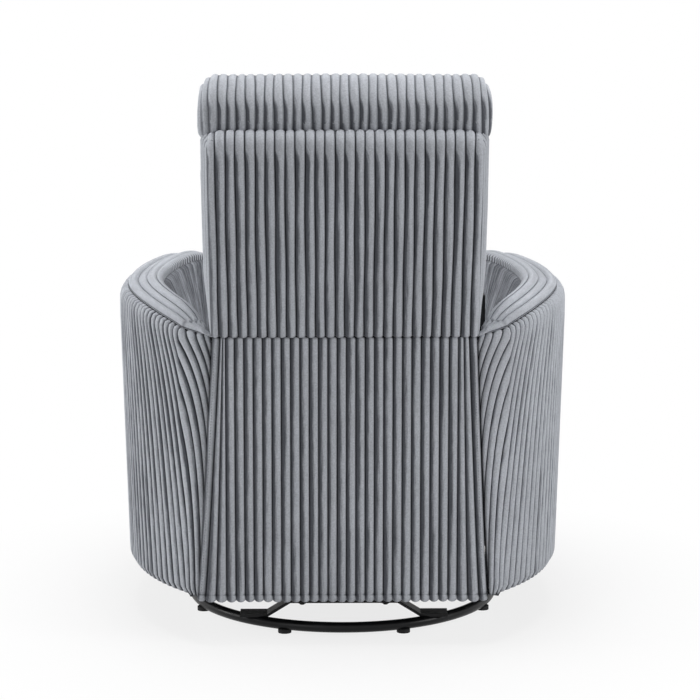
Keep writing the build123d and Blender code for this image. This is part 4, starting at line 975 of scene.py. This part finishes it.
def inflate(name, rings, held, cap):
    """Lets pressure swell the closed cushion for a moment and returns the moved rings."""
    steps, count = rings.shape[:2]
    faces = grid_quads(steps, count, wrap=True).tolist()
    for start in (0, (steps - 1) * count):
        for i in range(count // 2 - 1):
            across = (start + (count - i - 2) % count, start + count - i - 1)
            faces.append([start + i, start + i + 1, *across])
    mesh = bpy.data.meshes.new(name + "_inflating")
    mesh.from_pydata(rings.reshape(-1, 3).tolist(), [], faces)
    pad = bpy.data.objects.new(name + "_inflating", mesh)
    bpy.context.scene.collection.objects.link(pad)
    group = pad.vertex_groups.new(name="held")
    group.add([int(i) for i in np.flatnonzero(held.ravel())], 1.0, "REPLACE")
    cloth = pad.modifiers.new("cloth", "CLOTH")
    settings = cloth.settings
    settings.vertex_group_mass = "held"
    settings.quality = 5
    settings.mass = 0.25
    settings.tension_stiffness = 12
    settings.compression_stiffness = 12
    settings.shear_stiffness = 6
    settings.bending_stiffness = 1.2
    settings.use_pressure = True
    settings.uniform_pressure_force = 4.0
    settings.effector_weights.gravity = 0.0
    scene = bpy.context.scene
    scene.frame_start, scene.frame_end = 1, INFLATE_FRAMES
    for number in range(1, INFLATE_FRAMES + 1):
        scene.frame_set(number)
    evaluated = pad.evaluated_get(bpy.context.evaluated_depsgraph_get())
    moved = np.array([v.co for v in evaluated.data.vertices], float).reshape(rings.shape)
    bpy.data.objects.remove(pad)
    bpy.data.meshes.remove(mesh)
    scene.frame_set(1)
    shift = moved - rings
    length = np.linalg.norm(shift, axis=2, keepdims=True)
    # the flat side stays where it is, and the swell ends softly at its cap
    free = smooth(-rings[..., 1:2] / (-0.6 * rings[..., 1].min()))
    return rings + shift * free * cap * np.tanh(length / cap) / np.maximum(length, 1e-9)


def wale_cushion(context, name, size, place, turned, corner, end_radius, cap, crown=0.008):
    """Stuffed cushion whose wales run round it, from its flat side over the top to the front."""
    looks = context.scene.recliner_cloth
    half_width, _, height = size
    rings, distances = cushion_rings(size, corner, end_radius, crown)
    held = (rings[..., 1] > -0.004) & (np.abs(rings[..., 2]) < height / 2 - corner)
    rings = inflate(name, rings, held, cap)
    reach = distances[-1]
    wales = round(2 * reach / looks.wale_pitch)
    pitch = 2 * reach / wales
    columns = wale_columns(-wales / 2, wales / 2)
    across = (columns * pitch + reach) / (2 * reach) * (CUSHION_RINGS - 1)
    reading = catmull(across, CUSHION_RINGS, False)
    turning = catmull(np.arange(FINE_POINTS) * RING_POINTS / FINE_POINTS, RING_POINTS, True)
    base = np.einsum("as,scx,bc->bax", reading, rings, turning)
    base = np.concatenate([base, base[:1]], axis=0)
    normals = grid_normals(base, 1.0)
    sign = -np.sign(normals[FINE_POINTS // 2, len(columns) // 2, 1])
    normals *= sign
    normals[0] = normals[-1] = (normals[0] + normals[-1]) / 2
    phase = columns + wales / 2
    # the closed ends are plain cloth
    ends = smooth((half_width + 0.57 * end_radius - np.abs(columns * pitch)) / pitch + 0.2)
    rise = wale_rise(phase) * ends + 0.75 * (1 - ends)
    along = path_steps(base[:, len(columns) // 2])[:, None]
    drift = 0.0009 * np.sin(4 * math.pi * along / along[-1] + 1.7 * phase) * ends
    points = base + normals * (looks.wale_depth * (rise - 0.45))[..., None]
    points[..., 0] += drift
    # painted light: where the cushion faces up the painted flank shade is lifted; its plain ends
    # show little flank shade
    flank_shade_lift = np.maximum(lit_from_above(turned(normals)), 0.75 * (1 - ends))
    cloth = soft_cloth(-phase, along, rise, flank_shade_lift)
    faces = grid_quads(*points.shape[:2], flip=sign > 0)
    return make_piece(name, place(points), faces, cloth, corduroy(context))


def upright(normals):
    """Directions of a cushion that stands."""
    return normals


def lying(normals):
    """Directions of a cushion that lies on its flat side."""
    return np.stack([normals[..., 0], normals[..., 2], -normals[..., 1]], axis=-1)


def back_place(rear, low, high):
    """Puts a cushion between two heights on the leaning back."""

    def move(points):
        moved = points.copy()
        moved[..., 1] += rear
        moved[..., 2] += (low + high) / 2
        return leaned(moved)

    return move


# ------------------------------------------------------------ stitches
STITCH_GAP = 0.0052
STITCH_LENGTH = 0.0036
STITCH_RADIUS = 0.00045
STITCH_LIFT = 0.0004  # arch of a stitch over the cloth
STITCH_SIDES = 6
# share of its length and of its full thickness
STITCH_SECTIONS = ((0.0, 0.35), (0.2, 0.9), (0.5, 1.0), (0.8, 0.9), (1.0, 0.35))


def stitch_row(context, name, points, out):
    """Short thread stitches laid along a line of points, with the direction out of the cloth."""
    steps = path_steps(points)
    out = np.array(out)
    verts, faces = [], []
    for place in np.arange(STITCH_GAP / 2, steps[-1] - STITCH_LENGTH, STITCH_GAP):
        start, end = read_path(points, steps, np.array([place, place + STITCH_LENGTH]))
        direction = (end - start) / np.linalg.norm(end - start)
        wide = np.cross(direction, out)
        first = len(verts)
        for share, thickness in STITCH_SECTIONS:
            centre = start + (end - start) * share + out * (STITCH_LIFT * math.sin(math.pi * share))
            for k in range(STITCH_SIDES):
                turn = k * 2 * math.pi / STITCH_SIDES
                spoke = wide * math.cos(turn) + out * math.sin(turn)
                verts.append(centre + STITCH_RADIUS * thickness * spoke)
        for ring in range(first, len(verts) - STITCH_SIDES, STITCH_SIDES):
            for k in range(STITCH_SIDES):
                a, b = ring + k, ring + (k + 1) % STITCH_SIDES
                faces.append([a, b, b + STITCH_SIDES, a + STITCH_SIDES])
        faces.append([first + k for k in reversed(range(STITCH_SIDES))])
        faces.append([len(verts) - STITCH_SIDES + k for k in range(STITCH_SIDES)])
    return make_piece(name, np.array(verts), faces, None, thread(context))


# ------------------------------------------------------------ settings
class ReclinerCloth(PropertyGroup):
    """Sizes and colours of the corduroy."""

    wale_pitch: FloatProperty(
        name="Wale pitch",
        description="Width of one rib of the cushions' corduroy",
        default=0.0161, min=0.004, unit="LENGTH",
    )
    wale_depth: FloatProperty(
        name="Wale depth",
        description="Height of a rib over its groove",
        default=0.0062, min=0.001, unit="LENGTH",
    )
    crest_colour: FloatVectorProperty(
        name="Crest colour",
        description="Pile on top of the ribs",
        default=(0.405, 0.422, 0.457), size=3, subtype="COLOR", min=0, max=1,
    )
    # painted shade on the flank of each rib away from the light
    shaded_flank_colour: FloatVectorProperty(
        name="Flank colour",
        description="Pile on the side that the nap leans over",
        default=(0.088, 0.093, 0.107), size=3, subtype="COLOR", min=0, max=1,
    )
    # painted shade in the grooves between the ribs
    groove_shade_colour: FloatVectorProperty(
        name="Groove colour",
        description="Pile between the ribs",
        default=(0.024, 0.0255, 0.03), size=3, subtype="COLOR", min=0, max=1,
    )
    # where the painted flank shade turns to the lit crest
    shaded_flank_edge: FloatVectorProperty(
        name="Nap edge",
        description="Shares of a rib between which the nap turns from dark to light",
        default=(0.2, 0.56), size=2,
    )
    brushing: FloatProperty(
        name="Brushing",
        description="Broad drift of that edge",
        default=0.17, min=0, max=1,
    )
    ragged: FloatProperty(
        name="Ragged nap",
        description="Unevenness of that edge, as a share of a rib",
        default=0.16, min=0, max=1,
    )
    sheen_colour: FloatVectorProperty(
        name="Sheen colour",
        description="Soft light of the brushed pile",
        default=(0.86, 0.89, 0.95), size=3, subtype="COLOR", min=0, max=1,
    )
    sheen: FloatProperty(
        name="Sheen",
        description="Strength of the pile's soft light",
        default=0.45, min=0, max=1, subtype="FACTOR",
    )


class ReclinerFrame(PropertyGroup):
    """Colours of the frame's finishes."""

    paint_colour: FloatVectorProperty(
        name="Paint",
        description="Black paint of the base and glider",
        default=(0.0045, 0.0046, 0.0052), size=3, subtype="COLOR", min=0, max=1,
    )
    zinc_colour: FloatVectorProperty(
        name="Zinc",
        description="Plated links and pins",
        default=(0.62, 0.63, 0.65), size=3, subtype="COLOR", min=0, max=1,
    )
    wood_colour: FloatVectorProperty(
        name="Wood",
        description="Sawn rails and plywood",
        default=(0.62, 0.43, 0.24), size=3, subtype="COLOR", min=0, max=1,
    )


class ReclinerStage(PropertyGroup):
    """Floor, lamps and camera."""

    floor_colour: FloatVectorProperty(
        name="Floor",
        description="Pale studio floor",
        default=(0.82, 0.82, 0.82), size=3, subtype="COLOR", min=0, max=1,
    )
    floor_glow: FloatProperty(
        name="Floor glow",
        description="Share of plain white in the floor under the chair as it is seen",
        default=0.8, min=0, max=1,
    )
    overhead_power: FloatProperty(
        name="Overhead power",
        description="Soft lamp over the chair",
        default=68.0, min=0, unit="POWER",
    )
    key_power: FloatProperty(
        name="Key power",
        description="Lamp behind the chair's right arm",
        default=66.0, min=0, unit="POWER",
    )
    side_power: FloatProperty(
        name="Side power",
        description="Lamp beside the chair's left arm",
        default=60.0, min=0, unit="POWER",
    )
    fill_power: FloatProperty(
        name="Fill power",
        description="Lamps behind on the left and in front",
        default=20.0, min=0, unit="POWER",
    )
    ambient: FloatProperty(
        name="Ambient",
        description="Even light of the room",
        default=0.14, min=0, max=1,
    )
    camera_side: FloatProperty(
        name="Camera side",
        description="Camera to the left of the swivel axis, seen from behind",
        default=0.055, unit="LENGTH",
    )
    camera_distance: FloatProperty(
        name="Camera distance",
        description="Camera behind the swivel axis",
        default=5.0, min=1, unit="LENGTH",
    )
    camera_height: FloatProperty(
        name="Camera height",
        description="Camera over the floor",
        default=1.368, min=0, unit="LENGTH",
    )
    lens: FloatProperty(
        name="Lens",
        description="Focal length in millimetres",
        default=141.0, min=20,
    )


# ------------------------------------------------------------ operators
FLOOR_HALF = 14.0
FLOOR_FADE = (0.45, 0.85)  # distances over which the floor runs out to plain white
CAMERA_AIM = (0, 0, 0.5)
CAMERA_SHIFT = (0.0107, -0.0254)
CAMERA_SENSOR = 36.0  # millimetres, like the lens


class RECLINER_OT_stage(Operator):
    """Pale floor, soft lamps and the camera behind the chair"""

    bl_idname = "recliner.stage"
    bl_label = "Studio stage"

    def execute(self, context):
        looks = context.scene.recliner_stage
        scene = context.scene
        scene.view_settings.view_transform = "Standard"
        self.floor(looks)
        self.world(scene, looks)
        self.lamps(looks)
        self.camera(looks)
        return {"FINISHED"}

    def floor(self, looks):
        """Pale floor that keeps the shadow near the chair and runs out to plain white."""
        material, tree, principled = shader("studio_floor", Roughness=0.9, Specular_IOR_Level=0.1)
        place = object_coordinates(tree)
        blotch = noise(tree, 2.0, 2.0, 0.5, place)
        colour = mix_colours(tree, blotch, grey(looks.floor_colour, 0.985), looks.floor_colour)
        tree.links.new(colour, principled.inputs["Base Color"])
        reach = add_node(tree, "ShaderNodeVectorMath", operation="LENGTH")
        tree.links.new(place, reach.inputs[0])
        far = remap(tree, reach.outputs["Value"], *FLOOR_FADE, looks.floor_glow, 1.0)
        white = add_node(tree, "ShaderNodeEmission", Strength=1.0)
        seen = math_node(tree, "MULTIPLY", far, self.seen(tree))
        mixer = tree.nodes.new("ShaderNodeMixShader")
        tree.links.new(seen, mixer.inputs[0])
        tree.links.new(principled.outputs[0], mixer.inputs[1])
        tree.links.new(white.outputs[0], mixer.inputs[2])
        tree.links.new(mixer.outputs[0], tree.nodes["Material Output"].inputs["Surface"])
        low, high = -FLOOR_HALF, FLOOR_HALF
        corners = [(low, low, 0), (high, low, 0), (high, high, 0), (low, high, 0)]
        mesh = bpy.data.meshes.new("studio_floor")
        mesh.from_pydata(corners, [], [(0, 1, 2, 3)])
        mesh.materials.append(material)
        floor = bpy.data.objects.new("studio_floor", mesh)
        bpy.context.scene.collection.objects.link(floor)

    def seen(self, tree):
        """1 for a ray from the camera, off a gloss or through glass."""
        path = tree.nodes.new("ShaderNodeLightPath")
        camera, gloss = path.outputs["Is Camera Ray"], path.outputs["Is Glossy Ray"]
        glass = path.outputs["Is Transmission Ray"]
        return math_node(tree, "MAXIMUM", math_node(tree, "MAXIMUM", camera, gloss), glass)

    def world(self, scene, looks):
        """Even light on the chair, plain white where it is seen."""
        world = bpy.data.worlds.new("studio_world")
        scene.world = world
        world.use_nodes = True
        tree = world.node_tree
        background = tree.nodes["Background"]
        strength = remap(tree, self.seen(tree), 0.0, 1.0, looks.ambient, 1.0)
        background.inputs["Color"].default_value = (1, 1, 1, 1)
        tree.links.new(strength, background.inputs["Strength"])

    def lamps(self, looks):
        self.lamp("overhead", (0.0, 0.2, 3.4), (0.0, 0.1, 0.4), 2.0, looks.overhead_power)
        self.lamp("key", (-3.4, 1.5, 1.6), (0.0, 0.2, 0.5), 1.6, looks.key_power)
        self.lamp("side", (3.4, 0.1, 1.5), (0.0, 0.2, 0.5), 1.6, looks.side_power)
        self.lamp("fill", (2.2, 3.4, 1.6), (0.0, 0.2, 0.5), 2.2, looks.fill_power)
        self.lamp("front", (0.0, -3.6, 2.4), (0.0, 0.0, 0.4), 2.2, looks.fill_power)

    def lamp(self, name, place, aim, size, power):
        """Round soft lamp that points at a place."""
        data = bpy.data.lights.new(name, "AREA")
        data.shape, data.size, data.energy = "DISK", size, power
        lamp = bpy.data.objects.new(name, data)
        lamp.location = place
        lamp.rotation_euler = (Vector(aim) - Vector(place)).to_track_quat("-Z", "Y").to_euler()
        bpy.context.scene.collection.objects.link(lamp)

    def camera(self, looks):
        """Camera behind the chair, from a little over its top."""
        data = bpy.data.cameras.new("camera")
        data.sensor_width = CAMERA_SENSOR
        data.lens = looks.lens
        data.shift_x, data.shift_y = CAMERA_SHIFT
        camera = bpy.data.objects.new("camera", data)
        place = Vector((looks.camera_side, looks.camera_distance, looks.camera_height))
        camera.location = place
        camera.rotation_euler = (Vector(CAMERA_AIM) - place).to_track_quat("-Z", "Y").to_euler()
        bpy.context.scene.collection.objects.link(camera)
        bpy.context.scene.camera = camera


class RECLINER_OT_rear_panel(Operator):
    """Ribbed panel over the back, rolled over its top, with its side boxing"""

    bl_idname = "recliner.rear_panel"
    bl_label = "Rear panel"

    def execute(self, context):
        panel = rear_panel(context)
        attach(panel, "back")
        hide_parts("back_rear_panel")
        for side in (1, -1):
            boxing = side_boxing(context, side)
            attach(boxing, "back")
            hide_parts("back_side_bands")
        return {"FINISHED"}


class RECLINER_OT_rear_flap(Operator):
    """Ribbed flap that hangs from the back's seam, with its stitched edges"""

    bl_idname = "recliner.rear_flap"
    bl_label = "Rear flap"

    def execute(self, context):
        flap = rear_flap(context)
        stitches = self.stitches(context)
        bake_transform(flap)
        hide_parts("rear_flap")
        for row in stitches:
            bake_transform(row)
        return {"FINISHED"}

    def stitches(self, context):
        """A row of stitches down each side of the flap."""
        z = np.linspace(BACK_SEAM[1] - 0.02, FLAP_FOOT + 0.014, 60)
        edges = flap_columns(z, np.array([-0.62, FLAP_WALES + 0.62]))
        rows = []
        for x, side in ((edges[:, 1], 1), (edges[:, 0], -1)):
            line = np.column_stack([x, np.full_like(z, FLAP_REAR + 0.0026), z])
            name = side_name("flap_edge_stitches", side)
            rows.append(stitch_row(context, name, line, (0.0, 1.0, 0.0)))
        return rows


class RECLINER_OT_back_cushions(Operator):
    """Head pillow, middle cushion and lumbar cushion"""

    bl_idname = "recliner.back_cushions"
    bl_label = "Back cushions"

    def execute(self, context):
        rear = POST_FRONT - POST_GAP
        for node, half, depth, low, high, at, corner, end, cap in (
            ("head_pillow", 0.248, 0.124, 0.3225, 0.4435, -0.0295, 0.056, 0.034, 0.003),
            ("middle_cushion", 0.246, 0.100, 0.184, 0.308, rear, 0.036, 0.030, 0.007),
            ("lumbar_cushion", 0.247, 0.106, -0.098, 0.177, rear, 0.038, 0.030, 0.007),
        ):
            size, place = (half, depth, high - low), back_place(at, low, high)
            pad = wale_cushion(context, node + "_cover", size, place, upright, corner, end, cap)
            if node == "lumbar_cushion":
                self.drawn_in(pad)
            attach(pad, "back")
            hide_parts(node)
        return {"FINISHED"}

    def drawn_in(self, pad):
        """Narrows the cushion low down, so that it stays clear of the arms as the back reclines."""
        for vertex in pad.data.vertices:
            vertex.co.x *= 1 - LUMBAR_TAPER * float(smooth((LUMBAR_DRAWN - vertex.co.z) / 0.11))


class RECLINER_OT_seat_cushion(Operator):
    """Seat cushion with wales from back to front and over its front edge"""

    bl_idname = "recliner.seat_cushion"
    bl_label = "Seat cushion"

    def execute(self, context):
        low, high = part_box("seat_cushion")

        def place(points):
            moved = points.copy()
            moved[..., 1] = (low.y + high.y) / 2 + points[..., 2]
            moved[..., 2] = low.z - points[..., 1]
            return moved

        size = (0.2525, high.z - low.z - 0.008, high.y - low.y - 0.008)
        pad = wale_cushion(
            context, "seat_cushion_cover", size, place, lying,
            corner=0.04, end_radius=0.036, cap=0.008, crown=0.006,
        )
        pad.data.flip_normals()
        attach(pad, "carriage")
        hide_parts("seat_cushion")
        return {"FINISHED"}


class RECLINER_OT_seat_apron(Operator):
    """Strip of cloth under the seat cushion that closes the gap over the footrest"""

    bl_idname = "recliner.seat_apron"
    bl_label = "Seat apron"

    def execute(self, context):
        looks = context.scene.recliner_cloth
        rail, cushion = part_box("seat_front_rail"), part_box("seat_cushion")
        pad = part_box("footrest_pad")
        wales = round(2 * APRON_HALF_WIDTH / looks.wale_pitch)
        columns = wale_columns(0, wales)
        z = np.linspace(cushion[0].z - 0.001, pad[1].z - 0.014, 12)[:, None]
        base = np.zeros((len(z), len(columns), 3))
        base[..., 0] = (columns / wales * 2 - 1) * APRON_HALF_WIDTH
        base[..., 1] = rail[0].y - 0.0015
        base[..., 2] = z
        apron = ribbed_sheet(
            "seat_apron", base, columns, z[0] - z, corduroy(context),
            outward=-1, back=0.001, depth=looks.wale_depth, fade=smooth((z - z[-1]) / 0.008 + 0.3),
        )
        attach(apron, "carriage")
        return {"FINISHED"}


class RECLINER_OT_footrest_pad(Operator):
    """Thin pad on the footrest board"""

    bl_idname = "recliner.footrest_pad"
    bl_label = "Footrest pad"

    def execute(self, context):
        low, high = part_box("footrest_pad")

        def place(points):
            moved = points.copy()
            moved[..., 1] = high.y + points[..., 1]
            moved[..., 2] = (low.z + high.z) / 2 + points[..., 2]
            return moved

        size = (0.244, high.y - low.y - 0.005, high.z - low.z - 0.006)
        pad = wale_cushion(
            context, "footrest_cover", size, place, upright,
            corner=0.014, end_radius=0.012, cap=0.004, crown=0.004,
        )
        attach(pad, "footrest")
        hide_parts("footrest_pad")
        return {"FINISHED"}


class RECLINER_OT_arms(Operator):
    """Barrel arms: upright wales below a padded top band"""

    bl_idname = "recliner.arms"
    bl_label = "Barrel arms"

    def execute(self, context):
        for side, node in ((1, "arm_cover_left"), (-1, "arm_cover_right")):
            panel = arm_panel(context, side)
            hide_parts(node)
            for piece in (panel, arm_band(context, side)):
                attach(piece, "carriage")
            underside = arm_underside(context, side)
            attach(underside, "carriage")
        return {"FINISHED"}


class RECLINER_OT_frame_finishes(Operator):
    """Paint, plating, timber, rubber, plastic and webbing on the frame's own parts"""

    bl_idname = "recliner.frame_finishes"
    bl_label = "Frame finishes"

    def execute(self, context):
        finishes = {
            black_paint(context): (
                "base_ring", "base_bolts", "bow_bar_front", "bow_bar_rear", "base_straps",
                "lower_race", "upper_race", "glider_cross_front", "glider_cross_rear",
                "glider_rail_left", "glider_rail_right", "front_hangers", "rear_hangers",
                "side_plate_left", "side_plate_right", "cross_tube",
                "back_bracket_left", "back_bracket_right", "footrest_brackets", "release_lever",
            ),
            zinc(context): (
                "race_balls", "ball_cage", "hanger_pins", "front_links", "rear_links",
                "carriage_pins", "drive_tube", "drive_links", "upper_links",
                "rising_links", "falling_links", "bracket_links", "control_links",
            ),
            timber(context): ("seat_rear_rail", "arm_spacers"),
            lining(context): (
                "seat_front_rail", "seat_side_rail_left", "seat_side_rail_right",
                "back_post_left", "back_post_right", "back_top_rail", "back_bottom_rail",
                "footrest_board", "arm_frame_left", "arm_frame_right",
            ),
            rubber(context): ("foot_pads",),
            moulded_plastic(context): ("release_paddle",),
            webbing(context): ("seat_webbing", "back_webbing"),
        }
        for material, nodes in finishes.items():
            for name in nodes:
                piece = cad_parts[name]
                if not piece.material_slots:
                    piece.data.materials.append(material)
                for slot in piece.material_slots:
                    slot.material = material
        return {"FINISHED"}


class RECLINER_PT_panel(Panel):
    """Lists the pieces and their sizes"""

    bl_idname = "RECLINER_PT_panel"
    bl_label = "Recliner"
    bl_space_type = "VIEW_3D"
    bl_region_type = "UI"
    bl_category = "Recliner"

    def draw(self, context):
        column = self.layout.column()
        for operator in OPERATORS:
            column.operator(operator.bl_idname, text=operator.bl_label)
        scene = context.scene
        for group in (scene.recliner_cloth, scene.recliner_frame, scene.recliner_stage):
            for name in group.bl_rna.properties.keys():
                if name not in ("rna_type", "name"):
                    column.prop(group, name)


GROUPS = (ReclinerCloth, ReclinerFrame, ReclinerStage)
OPERATORS = (
    RECLINER_OT_stage,
    RECLINER_OT_frame_finishes,
    RECLINER_OT_rear_panel,
    RECLINER_OT_rear_flap,
    RECLINER_OT_back_cushions,
    RECLINER_OT_seat_cushion,
    RECLINER_OT_seat_apron,
    RECLINER_OT_footrest_pad,
    RECLINER_OT_arms,
)
CLASSES = (*GROUPS, *OPERATORS, RECLINER_PT_panel)


def register():
    for item in CLASSES:
        bpy.utils.register_class(item)
    bpy.types.Scene.recliner_cloth = PointerProperty(type=ReclinerCloth)
    bpy.types.Scene.recliner_frame = PointerProperty(type=ReclinerFrame)
    bpy.types.Scene.recliner_stage = PointerProperty(type=ReclinerStage)


def unregister():
    del bpy.types.Scene.recliner_cloth
    del bpy.types.Scene.recliner_frame
    del bpy.types.Scene.recliner_stage
    for item in reversed(CLASSES):
        bpy.utils.unregister_class(item)


def main():
    register()
    bpy.ops.recliner.stage()
    bpy.ops.recliner.frame_finishes()
    bpy.ops.recliner.rear_panel()
    bpy.ops.recliner.rear_flap()
    bpy.ops.recliner.back_cushions()
    bpy.ops.recliner.seat_cushion()
    bpy.ops.recliner.seat_apron()
    bpy.ops.recliner.footrest_pad()
    bpy.ops.recliner.arms()


if __name__ == "__main__":
    main()
